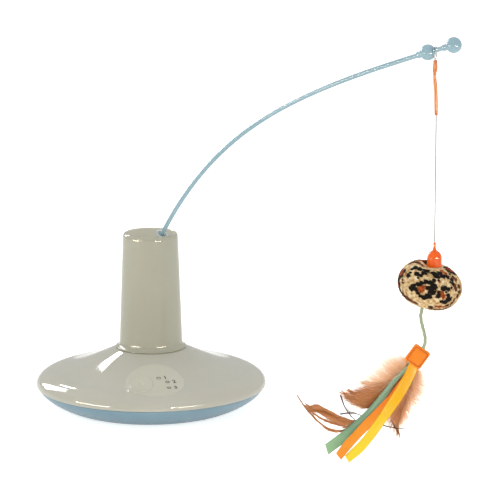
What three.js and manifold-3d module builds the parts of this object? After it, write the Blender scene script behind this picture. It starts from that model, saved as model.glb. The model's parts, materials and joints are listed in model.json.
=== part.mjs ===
// A floor-standing cat toy: a geared motor in the tower turns a bent wand that swings a feather lure.
// Millimetres, +Z up. The origin is on the turning axis, at the centre of the underside.
import * as THREE from 'three';
import { mergeVertices } from 'three/addons/utils/BufferGeometryUtils.js';
import Module from 'manifold-3d';

const wasm = await Module();
wasm.setup();

// Clearances
const seat = 0.3;
const overrun = 2;
const panelReach = 8;

// Base: a flared sage dish over a blue pan
const baseRadius = 115.6;
const widestHeight = 23.5;
const seamHeight = 20.8;
const seamInset = 2;
const seamRadius = baseRadius - seamInset;
const rimReach = 18.6;
const collarRadius = 35.5;
const collarHeight = 60.2;
const shoulderRadius = baseRadius - rimReach;
const shoulderHeight = 37.2;
const flareSlopeShares = [0.465, 0.185];
const flareHandleShare = 0.35;
const rimHandleShares = [0.543, 0.524];
const dishWall = 2.4;
const undersideDrop = 0.6;
const panReach = 37.6;
const panFlatRadius = baseRadius - panReach;
const panWall = 2.2;
const panHandleShares = [0.3, 0.3];
const gateRecessRadius = 15;
const tongueWidth = 1.3;
const tongueHeight = 2;

// Feet
const footInset = 6;
const footRingRadius = panFlatRadius - footInset;
const footRadius = 6;
const footStand = 1.5;
const footSink = 0.8;
const footCount = 4;

// Case screws and their bosses
const screwRadius = 1.4;
const screwHeadRadius = 2.8;
const screwHeadHeight = 1.8;
const caseScrewLength = 12;
const caseScrewInset = 10;
const screwRingRadius = panFlatRadius - caseScrewInset;
const caseScrewAngles = [14, 166, 212, 328];
const bossWall = 2.2;
const bossWeb = 3;
const bossTop = 14;

// Battery bay with three AA cells side by side
const cellRadius = 7.1;
const cellLength = 49.2;
const cellNubRadius = 2.7;
const cellNubLength = 1.2;
const cellPitch = 14.8;
const cellCount = 3;
const bayCentre = 38;
const bayWall = 2.6;
const bayRoofWall = 1.8;
const bayEndRoom = 3.3;
const contactThickness = 0.5;
const contactHeight = 11;
const contactWidth = 10;
const doorThickness = 1.6;
const doorLedge = 1.8;
const doorTabRadius = 5;
const doorScrewLength = 7;

// Tower
const towerFootRadius = 31.8;
const towerTopRadius = 27.6;
const towerHeight = 177;
const ringRadius = 35.3;
const footEdge = 0.8;
const footFlareHeight = 7.4;
const lipRound = 5;
const towerWall = 2.2;
const cupRadius = 24.3;
const cupDepth = 44;
const cupFloorHeight = towerHeight - cupDepth;
const cupFloorWall = 2.2;
const spigotRadius = 29.2;
const spigotDepth = 8;
const lugReach = 2.2;
const lugWidth = 8;
const lugHeight = 2.6;
const lugCount = 3;

// Control panel, speed button and lights, in the panel's own frame
const panelInnerMargin = 12;
const panelOuterMargin = 9.1;
const panelRadius = (baseRadius - collarRadius - panelInnerMargin - panelOuterMargin) / 2;
const panelPlaceRadius = collarRadius + panelInnerMargin + panelRadius;
const panelTurnAngle = -85.5;
const panelRise = 0.4;
const panelThickness = 1.5;
const panelLedge = 1.2;
const buttonShares = [0.786, 1.119];
const [buttonWidth, buttonLength] = buttonShares.map((share) => share * panelRadius);
const buttonPlaceShares = [-0.458, -0.136];
const buttonPlace = buttonPlaceShares.map((share) => share * panelRadius);
const buttonRise = 0.9;
const buttonFlange = 1;
const buttonTravel = 0.8;
const dimpleRadius = 9;
const dimpleDepth = 0.7;
const stemRadius = 2.6;
const lightPlaceShares = [[0.132, 0.2], [0.42, -0.024], [0.447, -0.414]];
const lightPlaces = lightPlaceShares.map(([u, v]) => [u * panelRadius, v * panelRadius]);
const lightRadius = 1.5;
const lightFlange = 0.7;
const boardDepth = 10.5;
const boardThickness = 1.6;
const boardShares = [1.56, 1.695];
const [boardWidth, boardLength] = boardShares.map((share) => share * panelRadius);
const ledRadius = 1.5;
const ledHeight = 2.2;
const switchSide = 6;
const switchHeight = 3.5;
const plungerRadius = 1.6;
const plungerStand = 1.4;
const plungerSink = 0.9;
const postPlaceShares = [[0, 0.729], [0.203, -0.746]];
const postPlaces = postPlaceShares.map(([u, v]) => [u * panelRadius, v * panelRadius]);
const postRadius = 2.2;
const postPinRadius = 1.1;

// Gear train: module, tooth counts and faces
const gearModule = 0.5;
const motorTeeth = 10;
const firstWheelTeeth = 42;
const firstPinionTeeth = 12;
const secondWheelTeeth = 40;
const secondPinionTeeth = 12;
const outputTeeth = 48;
const addendumShare = 0.9;
const dedendumShare = 1.25;
const backlash = 0.14;
const pressureAngle = 20 * Math.PI / 180;
const wheelFace = 4;
const thinFace = 3.6;
const gearFloat = 0.5;
const layerGap = 0.7;
const arborRadius = 1;
const arborClearance = 0.25;
const hubRadius = 1.7;
const webRecess = 1.2;
const arborRingRadius = 14.4;
const pinionPlaceAngle = 183;

// Gear case and motor
const caseDrop = 5.5;
const frameThickness = 1.8;
const lidThickness = 2;
const caseRadius = 26;
const pillarRingRadius = 23.2;
const pillarRadius = 2.6;
const pillarAngles = [95, 205, 310];
const longScrewRadius = 1.1;
const longScrewHeadRadius = 2.1;
const longScrewGrip = 3;
const bushRadius = 5;
const bushStand = 1.4;
const motorRadius = 10.1;
const motorFlat = 15.1;
const motorLength = 20.6;
const motorCapLength = 4.5;
const motorBossRadius = 3;
const motorBossHeight = 1.4;
const motorShaftRadius = 1;

// Turntable, socket and wand
const shaftRadius = 2.5;
const shaftSink = 1.2;
const tableRise = 0.9;
const tableThickness = 2.2;
const tableGap = 0.5;
const tableCrown = 3.4;
const tableHubRadius = 5;
const wandTurnAngle = -38;
const wandLeanAngle = 58.7;
const socketRise = 19.1;
const socketCross = cupFloorHeight + socketRise;
const socketRadius = 6.2;
const socketFoot = 16.5;
const socketMouth = 8;
const socketStop = -4;
const collarBaseRadius = 4;
const collarMouthRadius = 6.3;
const collarWall = 1.2;
const collarSink = 5;
const collarMouth = 29.5;
const wandRadius = 2.15;
const wandStraight = 28.6;
const wandReach = 333.5;
const wandTipRise = 208.4;
const wandTipAngle = 18.6;
const wandHandleShares = [0.356, 0.427];
const neckLength = 29.9;
const neckAngle = 17.6;
const beadRadius = 7.4;
const beadCollarLength = 5;
const beadCollarRadius = 3.1;

// Lure
const wireRadius = 0.45;
const loopPlace = 8.8;
const loopDrop = 9.2;
const sleeveLength = 51;
const sleeveLeanAngle = 1.6;
const sleeveRadius = 1.45;
const sleeveWaistShares = [0, 0.13, 0.24, 0.4, 1];
const sleeveWidthShares = [1.1, 1.35, 0.9, 1.05, 1];
const lineLength = 118.6;
const lineRadius = 0.45;
const ferruleLength = 7.6;
const ferruleTopRadius = 0.9;
const ferruleFootRadius = 1.7;
const capHeight = 15.2;
const capRadius = 6.9;
const capWall = 1.1;
const ballRadius = 30.1;
const ballHalfHeight = 22.9;
const ballTiltAngle = 17;
const ballSide = -4.2;
const ballPleats = 12;
const ballPleatDepthShare = 0.05;
const ballDimpleShare = 0.1;
const capSeatDepth = 4.6;
const cordRadius = 1.5;
const tagSide = 16.5;
const tagThickness = 4.4;
const tagTiltAngle = -35.3;
const tagCorner = 1.6;
const stripGap = 0.5;
const ribbonWidth = 10;
const ribbonThickness = 0.5;
const ribbonSlant = 2.3;
const greenRibbonLength = 115.5;
const orangeRibbonLength = 111.3;
const yellowRibbonLength = 109;
const featherThickness = 0.6;
const quillWidth = 0.8;
const longFeatherLength = 151;
const longVaneWidth = 10.5;
const shortFeatherLength = 76.7;
const shortVaneWidth = 19;
const downTuftLength = 74.4;
const downWidth = 32;
const downFluff = 5;

const degrees = Math.PI / 180;
const quarterTurn = Math.PI / 2;
const fullTurn = Math.PI * 2;

// Shape tools

// A closed mesh with shared corners, no collapsed faces and every face pointing out
function welded(source) {
  const bare = source.clone();
  bare.deleteAttribute('normal');
  bare.deleteAttribute('uv');
  const merged = mergeVertices(bare);
  const kept = [];
  const index = merged.index.array;
  for (let i = 0; i < index.length; i += 3) {
    const [a, b, c] = [index[i], index[i + 1], index[i + 2]];
    if (a !== b && b !== c && c !== a) {
      kept.push(a, b, c);
    }
  }
  const place = merged.attributes.position;
  const corners = [new THREE.Vector3(), new THREE.Vector3(), new THREE.Vector3()];
  let volume = 0;
  for (let i = 0; i < kept.length; i += 3) {
    corners.forEach((corner, k) => corner.fromBufferAttribute(place, kept[i + k]));
    volume += corners[0].dot(corners[1].clone().cross(corners[2]));
  }
  if (volume < 0) {
    kept.reverse();
  }
  merged.setIndex(kept);
  merged.computeVertexNormals();
  return merged;
}

function solidOf(geometry) {
  const clean = welded(geometry);
  return new wasm.Manifold(new wasm.Mesh({
    numProp: 3,
    vertProperties: Float32Array.from(clean.attributes.position.array),
    triVerts: Uint32Array.from(clean.index.array),
  }));
}

function geometryOf(solid) {
  const mesh = solid.getMesh();
  const geometry = new THREE.BufferGeometry();
  geometry.setAttribute('position', new THREE.BufferAttribute(mesh.vertProperties, 3));
  geometry.setIndex(new THREE.BufferAttribute(mesh.triVerts, 1));
  geometry.computeVertexNormals();
  return geometry;
}

function joined(body, ...others) {
  return geometryOf(others.reduce((sum, other) => sum.add(solidOf(other)), solidOf(body)));
}

function cut(body, ...tools) {
  return geometryOf(tools.reduce((rest, tool) => rest.subtract(solidOf(tool)), solidOf(body)));
}

function common(body, other) {
  return geometryOf(solidOf(body).intersect(solidOf(other)));
}

// A profile of [radius, height] pairs turned about the Z axis
function turned(profile, sides) {
  const points = profile.map(([radius, height]) => new THREE.Vector2(radius, height));
  if (profile[0][0] > 0) {
    points.push(points[0].clone());
  }
  return welded(new THREE.LatheGeometry(points, sides).rotateX(quarterTurn));
}

function rod(radius, bottom, top, sides) {
  return turned([[0, bottom], [radius, bottom], [radius, top], [0, top]], sides);
}

function block(width, depth, bottom, top) {
  return new THREE.BoxGeometry(width, depth, top - bottom).translate(0, 0, (bottom + top) / 2);
}

// A closed skin over a row of rings that hold the same number of points each
function lofted(rings) {
  const count = rings[0].length;
  const places = rings.flat().flatMap((point) => point.toArray());
  const faces = [];
  for (let ring = 0; ring + 1 < rings.length; ring += 1) {
    for (let k = 0; k < count; k += 1) {
      const a = ring * count + k;
      const b = ring * count + (k + 1) % count;
      faces.push(a, b, a + count, b, b + count, a + count);
    }
  }
  const last = (rings.length - 1) * count;
  for (let k = 1; k + 1 < count; k += 1) {
    faces.push(0, k + 1, k, last, last + k, last + k + 1);
  }
  const skin = new THREE.BufferGeometry();
  skin.setAttribute('position', new THREE.Float32BufferAttribute(places, 3));
  skin.setIndex(faces);
  return welded(skin);
}

function roundSection(radius, sides) {
  return new THREE.Shape(Array.from({ length: sides }, (_, k) => {
    const angle = fullTurn * k / sides;
    return new THREE.Vector2(radius * Math.cos(angle), radius * Math.sin(angle));
  }));
}

function tube(path, radius, sides, steps) {
  return welded(new THREE.ExtrudeGeometry(roundSection(radius, sides), { extrudePath: path, steps }));
}

function ringOf(centre, across, up, radius, sides) {
  return Array.from({ length: sides }, (_, k) => {
    const angle = fullTurn * k / sides;
    return centre.clone()
      .addScaledVector(across, radius * Math.cos(angle))
      .addScaledVector(up, radius * Math.sin(angle));
  });
}

function polar(radius, angle) {
  return new THREE.Vector2(radius * Math.cos(angle * degrees), radius * Math.sin(angle * degrees));
}

function finish(color, roughness, metalness = 0) {
  return new THREE.MeshStandardMaterial({ color, roughness, metalness });
}

function piece(group, name, geometry, material) {
  const mesh = new THREE.Mesh(geometry, material);
  mesh.name = name;
  group.add(mesh);
  return mesh;
}

// Materials
const sagePlastic = finish('#bcbaa8', 0.22);
const bluePlastic = finish('#8fb0bf', 0.25);
const wandPlastic = finish('#9fbecb', 0.3);
const clearPlastic = finish('#e6eef0', 0.1);
const whitePlastic = finish('#e9e7df', 0.45);
const gearPlastic = finish('#f1efe6', 0.5);
const blackRubber = finish('#2d2d2e', 0.85);
const steel = finish('#b9bcc0', 0.35, 1);
const brass = finish('#c9a35a', 0.35, 1);
const nickel = finish('#c9c9c2', 0.3, 1);
const cellJacket = finish('#3b4a57', 0.4);
const boardGreen = finish('#2f6b46', 0.5);
const switchBlack = finish('#26272a', 0.5);
const orangePlastic = finish('#f3691f', 0.25);
const sleeveOrange = finish('#ea9054', 0.45);
const coatedWire = finish('#b9b9b4', 0.4);
const leopardPlush = finish('#c9a878', 0.95);
const greenCord = finish('#9cab8b', 0.85);
const orangeFelt = finish('#f77e2d', 0.95);
const greenSatin = finish('#8db593', 0.4);
const orangeSatin = finish('#f99b2a', 0.4);
const yellowSatin = finish('#fdd935', 0.4);
const brownFeather = finish('#b9774a', 0.8);
const tanDown = finish('#dcb48c', 0.9);

const toy = new THREE.Group();

// Dish outline from the collar over the flare and round the rim to the seam
function dishCurve(flareSteps, rimSteps) {
  const flareRun = shoulderRadius - collarRadius;
  const rimRun = baseRadius - shoulderRadius;
  const rimDrop = shoulderHeight - widestHeight;
  const [startSlope, endSlope] = flareSlopeShares;
  const collar = new THREE.Vector2(collarRadius, collarHeight);
  const shoulder = new THREE.Vector2(shoulderRadius, shoulderHeight);
  const widest = new THREE.Vector2(baseRadius, widestHeight);
  const flareHandle = flareHandleShare * flareRun;
  const rimHandle = rimHandleShares[0] * rimRun;
  const flare = new THREE.CubicBezierCurve(
    collar,
    new THREE.Vector2(collar.x + flareHandle, collar.y - flareHandle * startSlope),
    new THREE.Vector2(shoulder.x - flareHandle, shoulder.y + flareHandle * endSlope),
    shoulder,
  );
  const rim = new THREE.CubicBezierCurve(
    shoulder,
    new THREE.Vector2(shoulder.x + rimHandle, shoulder.y - rimHandle * endSlope),
    new THREE.Vector2(widest.x, widest.y + rimHandleShares[1] * rimDrop),
    widest,
  );
  const seamTop = seamHeight + seat;
  const curl = new THREE.QuadraticBezierCurve(
    widest,
    new THREE.Vector2(baseRadius, seamTop),
    new THREE.Vector2(seamRadius, seamTop),
  );
  return [
    ...flare.getPoints(flareSteps),
    ...rim.getPoints(rimSteps).slice(1),
    ...curl.getPoints(2).slice(1),
  ];
}
const dishLine = dishCurve(5, 5);
const dishInnerLine = dishCurve(3, 3);

// The same line moved outward by a distance, along each point's own normal
function beside(line, distance) {
  return line.map((point, i) => {
    const before = line[Math.max(i - 1, 0)];
    const after = line[Math.min(i + 1, line.length - 1)];
    const run = after.clone().sub(before).normalize();
    return new THREE.Vector2(point.x - run.y * distance, point.y + run.x * distance);
  });
}

function dishHeightAt(radius) {
  const next = dishLine.findIndex((point) => point.x >= radius);
  const [low, high] = [dishLine[next - 1], dishLine[next]];
  return low.y + (high.y - low.y) * (radius - low.x) / (high.x - low.x);
}

// Its slope there, over a short run to each side
const lineRun = dishWall / 2;
function dishSlopeAt(radius) {
  return (dishHeightAt(radius - lineRun) - dishHeightAt(radius + lineRun)) / (2 * lineRun);
}

const baseSides = 36;
const pairs = (line) => line.map((point) => [point.x, point.y]);

// A layer of the dish between two distances from its outer face
function dishLayer(outer, inner) {
  const top = pairs(beside(dishLine, outer));
  const bottom = pairs(beside(dishInnerLine, inner)).reverse();
  return turned([...top, ...bottom], baseSides);
}

// Panel frame: u along the dish, v up its slope, n out of its face
const panelRadial = polar(1, panelTurnAngle);
const panelPlace = panelRadial.clone().multiplyScalar(panelPlaceRadius);
const panelTiltAngle = Math.atan(dishSlopeAt(panelPlaceRadius));
const panelNormal = new THREE.Vector3(
  panelRadial.x * Math.sin(panelTiltAngle),
  panelRadial.y * Math.sin(panelTiltAngle),
  Math.cos(panelTiltAngle),
);
const panelAcross = new THREE.Vector3(-panelRadial.y, panelRadial.x, 0);
const panelUp = panelNormal.clone().cross(panelAcross);
const panelFrame = new THREE.Matrix4()
  .makeBasis(panelAcross, panelUp, panelNormal)
  .setPosition(panelPlace.x, panelPlace.y, dishHeightAt(panelPlaceRadius));

function ovalPrism(width, length, place, bottom, top, sides) {
  const oval = new THREE.Shape(Array.from({ length: sides }, (_, k) => {
    const angle = fullTurn * k / sides;
    return new THREE.Vector2(width / 2 * Math.cos(angle), length / 2 * Math.sin(angle));
  }));
  return new THREE.ExtrudeGeometry(oval, { depth: top - bottom, bevelEnabled: false })
    .translate(place[0], place[1], bottom);
}

// How far the curved dish falls below the panel's flat frame at a place in it
function panelFall(place) {
  const point = new THREE.Vector3(place[0], place[1], 0).applyMatrix4(panelFrame);
  const height = dishHeightAt(Math.hypot(point.x, point.y));
  return (point.z - height) * Math.cos(panelTiltAngle);
}

function inPanelFrame(geometry) {
  return geometry.applyMatrix4(panelFrame);
}

const windowRadius = panelRadius - panelLedge;

// Base top shell: dish with collar opening, bayonet notches, panel seat and four screw bosses
{
  const openingRadius = spigotRadius + seat;
  const outer = [new THREE.Vector2(openingRadius, collarHeight), ...dishLine];
  const inner = beside(dishInnerLine, -dishWall);
  inner.unshift(new THREE.Vector2(openingRadius, collarHeight - dishWall));
  inner[inner.length - 1].set(seamRadius - dishWall, seamHeight + seat);
  let dish = turned([...pairs(outer), ...pairs(inner).reverse()], baseSides);
  const core = turned([
    [0, bossTop],
    ...pairs(beside(dishInnerLine, -dishWall / 2)).reverse(),
    [0, collarHeight],
  ], baseSides);
  const bossRadius = screwRadius + bossWall;
  for (const angle of caseScrewAngles) {
    const place = polar(screwRingRadius, angle);
    const boss = rod(bossRadius, bossTop + seat, collarHeight, 8).translate(place.x, place.y, 0);
    dish = joined(dish, common(boss, core));
    const pilot = rod(screwRadius + seat / 2, 0, bossTop + caseScrewLength, 8);
    dish = cut(dish, pilot.translate(place.x, place.y, 0));
  }
  for (let k = 0; k < lugCount; k += 1) {
    const reach = lugReach + seat + overrun;
    const notchFoot = collarHeight - dishWall - overrun;
    const notch = block(reach, lugWidth + 2 * seat, notchFoot, collarHeight + overrun)
      .translate(openingRadius + lugReach + seat - reach / 2, 0, 0)
      .rotateZ(fullTurn * (k + 0.5) / lugCount);
    dish = cut(dish, notch);
  }
  const pocket = inPanelFrame(rod(panelRadius + seat, -panelReach, panelReach, 28));
  dish = cut(dish, common(pocket, dishLayer(overrun, panelRise - panelThickness - seat)));
  dish = cut(dish, inPanelFrame(rod(windowRadius, -boardDepth, panelReach, 28)));
  piece(toy, 'base_top_shell', dish, sagePlastic);
}

// Control panel: an inlay of the dish's own curve, with the button's oval and three light holes
const buttonHole = [buttonWidth + 2 * seat, buttonLength + 2 * seat];
{
  const layer = dishLayer(panelRise, panelRise - panelThickness);
  let panel = common(layer, inPanelFrame(rod(panelRadius, -panelReach, panelReach, 28)));
  for (const [u, v] of postPlaces) {
    const under = panelRise - panelThickness / 2 - panelFall([u, v]);
    const post = turned([
      [0, -boardDepth - boardThickness], [postPinRadius, -boardDepth - boardThickness],
      [postPinRadius, seat - boardDepth], [postRadius, seat - boardDepth],
      [postRadius, under], [0, under],
    ], 8);
    panel = joined(panel, inPanelFrame(post.translate(u, v, 0)));
  }
  panel = cut(
    panel,
    inPanelFrame(ovalPrism(...buttonHole, buttonPlace, -panelReach, panelReach, 20)),
    ...lightPlaces.map(([u, v]) => inPanelFrame(
      rod(lightRadius + seat, -panelReach, panelReach, 8).translate(u, v, 0),
    )),
  );
  piece(toy, 'control_panel', panel, sagePlastic);
}

// Speed button: a raised oval pad with a finger dimple, a flange under the panel and a stem to the switch
const plungerTop = -boardDepth + switchHeight + plungerStand;
{
  const flangeTop = panelRise - panelThickness - seat;
  const flange = common(
    dishLayer(flangeTop, flangeTop - buttonFlange),
    inPanelFrame(ovalPrism(
      buttonWidth + 2 * buttonFlange, buttonLength + 2 * buttonFlange, buttonPlace,
      -panelReach, panelReach, 20,
    )),
  );
  const under = flangeTop - buttonFlange / 2 - panelFall(buttonPlace);
  const stem = rod(stemRadius, plungerTop + seat, under, 12).translate(...buttonPlace, 0);
  const pad = common(
    dishLayer(buttonRise, flangeTop - buttonFlange / 2),
    inPanelFrame(ovalPrism(buttonWidth, buttonLength, buttonPlace, -panelReach, panelReach, 20)),
  );
  const dimpleCentre = buttonRise - panelFall(buttonPlace) - dimpleDepth + dimpleRadius;
  const dimple = new THREE.SphereGeometry(dimpleRadius, 12, 14).translate(...buttonPlace, dimpleCentre);
  const button = cut(joined(pad, flange, inPanelFrame(stem)), inPanelFrame(dimple));
  piece(toy, 'speed_button', button, sagePlastic);
}

// Circuit board with its press switch and three lights, hung under the panel
const panelGroup = new THREE.Group();
panelGroup.applyMatrix4(panelFrame);
toy.add(panelGroup);
{
  const pinHoles = postPlaces.map(([u, v]) => (
    rod(postPinRadius + seat / 2, -boardDepth - 2 * overrun, -boardDepth + overrun, 12).translate(u, v, 0)
  ));
  const leds = lightPlaces.map(([u, v]) => (
    turned([
      [0, -boardDepth - boardThickness / 2], [ledRadius, -boardDepth - boardThickness / 2],
      [ledRadius, -boardDepth + ledHeight * 0.7], [ledRadius * 0.7, -boardDepth + ledHeight],
      [0, -boardDepth + ledHeight],
    ], 8).translate(u, v, 0)
  ));
  const board = cut(
    joined(block(boardWidth, boardLength, -boardDepth - boardThickness, -boardDepth), ...leds),
    ...pinHoles,
  );
  piece(panelGroup, 'circuit_board', board, boardGreen);

  const bore = rod(plungerRadius + seat, -boardDepth + switchHeight - plungerSink - buttonTravel - seat,
    -boardDepth + switchHeight + overrun, 12);
  const body = cut(block(switchSide, switchSide, -boardDepth + seat, -boardDepth + switchHeight), bore);
  piece(panelGroup, 'press_switch', body.translate(...buttonPlace, 0), switchBlack);

  const plunger = rod(plungerRadius, -boardDepth + switchHeight - plungerSink, plungerTop, 12);
  piece(panelGroup, 'switch_plunger', plunger.translate(...buttonPlace, 0), whitePlastic);

  lightPlaces.forEach(([u, v], k) => {
    const top = panelRise - panelFall([u, v]);
    const flangeTop = top - panelThickness - seat;
    const pipe = turned([
      [0, -boardDepth + ledHeight + seat], [lightRadius, -boardDepth + ledHeight + seat],
      [lightRadius, flangeTop - lightFlange], [lightRadius + lightFlange, flangeTop - lightFlange],
      [lightRadius + lightFlange, flangeTop], [lightRadius, flangeTop],
      [lightRadius, top], [lightRadius * 0.6, top + panelRise / 2], [0, top + panelRise / 2],
    ], 8);
    piece(panelGroup, `light_pipe_${k + 1}`, pipe.translate(u, v, 0), clearPlastic);
  });
}

// Base bottom shell: blue pan with battery bay, screw bosses and foot pockets
const floorTop = panWall - undersideDrop;
const doorBottom = -undersideDrop;
const doorTop = doorBottom + doorThickness;
const cellHeight = doorTop + seat + cellRadius;
const bayRoof = cellHeight + cellRadius + 2 * seat;
const bayHalfLength = (cellLength + cellNubLength) / 2 + bayEndRoom;
const bayHalfWidth = (cellCount - 1) / 2 * cellPitch + cellRadius + 2 * seat;
const doorHalfLength = bayHalfLength + doorLedge;
const doorHalfWidth = bayHalfWidth + doorLedge;
const doorScrewPlace = bayCentre + doorHalfWidth + doorTabRadius / 2;
const footTop = doorBottom + footSink;
{
  const start = new THREE.Vector2(panFlatRadius, -undersideDrop);
  const end = new THREE.Vector2(seamRadius, seamHeight);
  const run = end.x - start.x;
  const rise = end.y - start.y;
  const bowl = new THREE.CubicBezierCurve(
    start,
    new THREE.Vector2(start.x + panHandleShares[1] * run, start.y),
    new THREE.Vector2(end.x, end.y - panHandleShares[0] * rise),
    end,
  );
  const outerLine = bowl.getPoints(4);
  const tongueOuter = seamRadius - dishWall - seat;
  const tongueInner = tongueOuter - tongueWidth;
  const innerLine = beside(bowl.getPoints(3), panWall)
    .filter((point) => point.y < seamHeight - tongueWidth && point.x < tongueInner);
  innerLine[0].x = start.x;
  let pan = turned([
    [0, 0], [gateRecessRadius, 0], [gateRecessRadius, -undersideDrop],
    ...pairs(outerLine),
    [tongueOuter, seamHeight], [tongueOuter, seamHeight + tongueHeight],
    [tongueInner, seamHeight + tongueHeight], [tongueInner, seamHeight - tongueWidth],
    ...pairs(innerLine).reverse(),
    [0, floorTop],
  ], baseSides);
  const bossRadius = screwHeadRadius + seat + bossWall / 2;
  const bossPlaces = caseScrewAngles.map((angle) => polar(screwRingRadius, angle));
  const bayBlock = block(
    2 * (bayHalfLength + bayWall), 2 * (bayHalfWidth + bayWall), floorTop - seat, bayRoof + bayRoofWall,
  ).translate(0, bayCentre, 0);
  const doorBoss = rod(doorTabRadius, floorTop - seat, doorTop + doorScrewLength + seat, 12)
    .translate(0, doorScrewPlace, 0);
  pan = joined(
    pan, bayBlock, doorBoss,
    ...bossPlaces.map((at) => rod(bossRadius, floorTop - seat, bossTop, 8).translate(at.x, at.y, 0)),
  );
  const below = -undersideDrop - overrun;
  const bay = block(2 * bayHalfLength, 2 * bayHalfWidth, below, bayRoof).translate(0, bayCentre, 0);
  const doorPocket = block(
    2 * (doorHalfLength + seat), 2 * (doorHalfWidth + seat), below, doorTop + seat,
  ).translate(0, bayCentre, 0);
  const tabPocket = rod(doorTabRadius + seat, below, doorTop + seat, 12).translate(0, doorScrewPlace, 0);
  const doorPilot = rod(screwRadius + seat / 2, below, doorTop + doorScrewLength - seat, 8)
    .translate(0, doorScrewPlace, 0);
  pan = cut(
    pan, bay, doorPocket, tabPocket, doorPilot,
    ...bossPlaces.map((at) => joined(
      rod(screwHeadRadius + seat, below, bossTop - bossWeb, 8),
      rod(screwRadius + seat / 2, below, bossTop + overrun, 8),
    ).translate(at.x, at.y, 0)),
    ...Array.from({ length: footCount }, (_, k) => {
      const at = polar(footRingRadius, 45 + 360 * k / footCount);
      return rod(footRadius + seat, below, footTop + seat, 10).translate(at.x, at.y, 0);
    }),
  );
  piece(toy, 'base_bottom_shell', pan, bluePlastic);
}

// Pan-head screw, point up, its head's top at height zero under the head
function screw(radius, headRadius, headHeight, length) {
  return turned([
    [0, -headHeight], [headRadius, -headHeight], [headRadius, 0],
    [radius, 0], [radius, length - radius], [0, length],
  ], 8);
}

// Case screws and rubber feet
caseScrewAngles.forEach((angle, k) => {
  const at = polar(screwRingRadius, angle);
  const shape = screw(screwRadius, screwHeadRadius, screwHeadHeight, caseScrewLength);
  const fastener = piece(toy, `case_screw_${k + 1}`, shape, steel);
  fastener.position.set(at.x, at.y, bossTop - bossWeb - seat);
});
for (let k = 0; k < footCount; k += 1) {
  const at = polar(footRingRadius, 45 + 360 * k / footCount);
  const foot = piece(toy, `foot_${k + 1}`, turned([
    [0, -footStand], [footRadius * 0.85, -footStand], [footRadius, -footStand * 0.5],
    [footRadius, footSink], [0, footSink],
  ], 10), blackRubber);
  foot.position.set(at.x, at.y, -undersideDrop);
}

// Battery door with its screw, and three cells with their four contact plates
{
  const plate = block(2 * doorHalfLength, 2 * doorHalfWidth, doorBottom, doorTop)
    .translate(0, bayCentre, 0);
  const tab = rod(doorTabRadius, doorBottom, doorTop, 12).translate(0, doorScrewPlace, 0);
  const headSeat = joined(
    rod(screwHeadRadius + seat, doorBottom - overrun, doorBottom + doorThickness * 0.45, 8),
    rod(screwRadius + seat / 2, doorBottom - overrun, doorTop + overrun, 8),
  ).translate(0, doorScrewPlace, 0);
  const grip = Array.from({ length: 3 }, (_, k) => (
    block(bayHalfLength / 2, screwRadius, doorBottom - overrun, doorBottom + undersideDrop)
      .translate(0, bayCentre - doorHalfWidth + (k + 1) * 2 * screwRadius, 0)
  ));
  piece(toy, 'battery_door', cut(joined(plate, tab), headSeat, ...grip), bluePlastic);
  const fastener = piece(
    toy, 'door_screw', screw(screwRadius, screwHeadRadius, doorThickness * 0.4, doorScrewLength), steel,
  );
  fastener.position.set(0, doorScrewPlace, doorBottom + doorThickness * 0.45 - seat / 2);
}
for (let k = 0; k < cellCount; k += 1) {
  const cell = piece(toy, `battery_cell_${k + 1}`, turned([
    [0, 0], [cellRadius, 0],
    [cellRadius, cellLength - cellRadius * 0.1], [cellRadius * 0.9, cellLength],
    [cellNubRadius, cellLength], [cellNubRadius, cellLength + cellNubLength],
    [0, cellLength + cellNubLength],
  ], 10), cellJacket);
  const way = k % 2 === 0 ? 1 : -1;
  cell.rotation.y = way * quarterTurn;
  cell.position.set(
    -way * (cellLength + cellNubLength) / 2, bayCentre + (k - (cellCount - 1) / 2) * cellPitch, cellHeight,
  );
}

// A plate against the bay's end wall, with a sprung blade bent in to each cell that it serves
function contactPlate(cells) {
  const span = (cells - 1) * cellPitch + contactWidth;
  const blades = Array.from({ length: cells }, (_, k) => {
    const reach = bayEndRoom - 2 * seat - contactThickness;
    const outline = new THREE.Shape([
      new THREE.Vector2(0, -contactHeight * 0.45),
      new THREE.Vector2(contactThickness + reach, -contactHeight * 0.1),
      new THREE.Vector2(contactThickness + reach, contactHeight * 0.1),
      new THREE.Vector2(0, contactHeight * 0.45),
      new THREE.Vector2(0, contactHeight * 0.32),
      new THREE.Vector2(contactThickness / 2 + reach, contactHeight * 0.05),
      new THREE.Vector2(contactThickness / 2 + reach, -contactHeight * 0.05),
      new THREE.Vector2(0, -contactHeight * 0.32),
    ]);
    return new THREE.ExtrudeGeometry(outline, { depth: contactWidth * 0.4, bevelEnabled: false })
      .translate(0, 0, -contactWidth * 0.2)
      .rotateX(quarterTurn)
      .translate(0, (k - (cells - 1) / 2) * cellPitch, 0);
  });
  const plate = block(contactThickness, span, -contactHeight / 2, contactHeight / 2)
    .translate(contactThickness / 2, 0, 0);
  return joined(plate, ...blades);
}
const contacts = [
  ['positive_contact', 1, 1, -1],
  ['rear_link_contact', 2, 1, 0.5],
  ['front_link_contact', 2, -1, -0.5],
  ['negative_contact', 1, -1, 1],
];
for (const [name, cells, side, row] of contacts) {
  const plate = piece(toy, name, contactPlate(cells), nickel);
  plate.rotation.z = side > 0 ? Math.PI : 0;
  plate.position.set(side * (bayHalfLength - seat), bayCentre + row * cellPitch, cellHeight);
}

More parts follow.
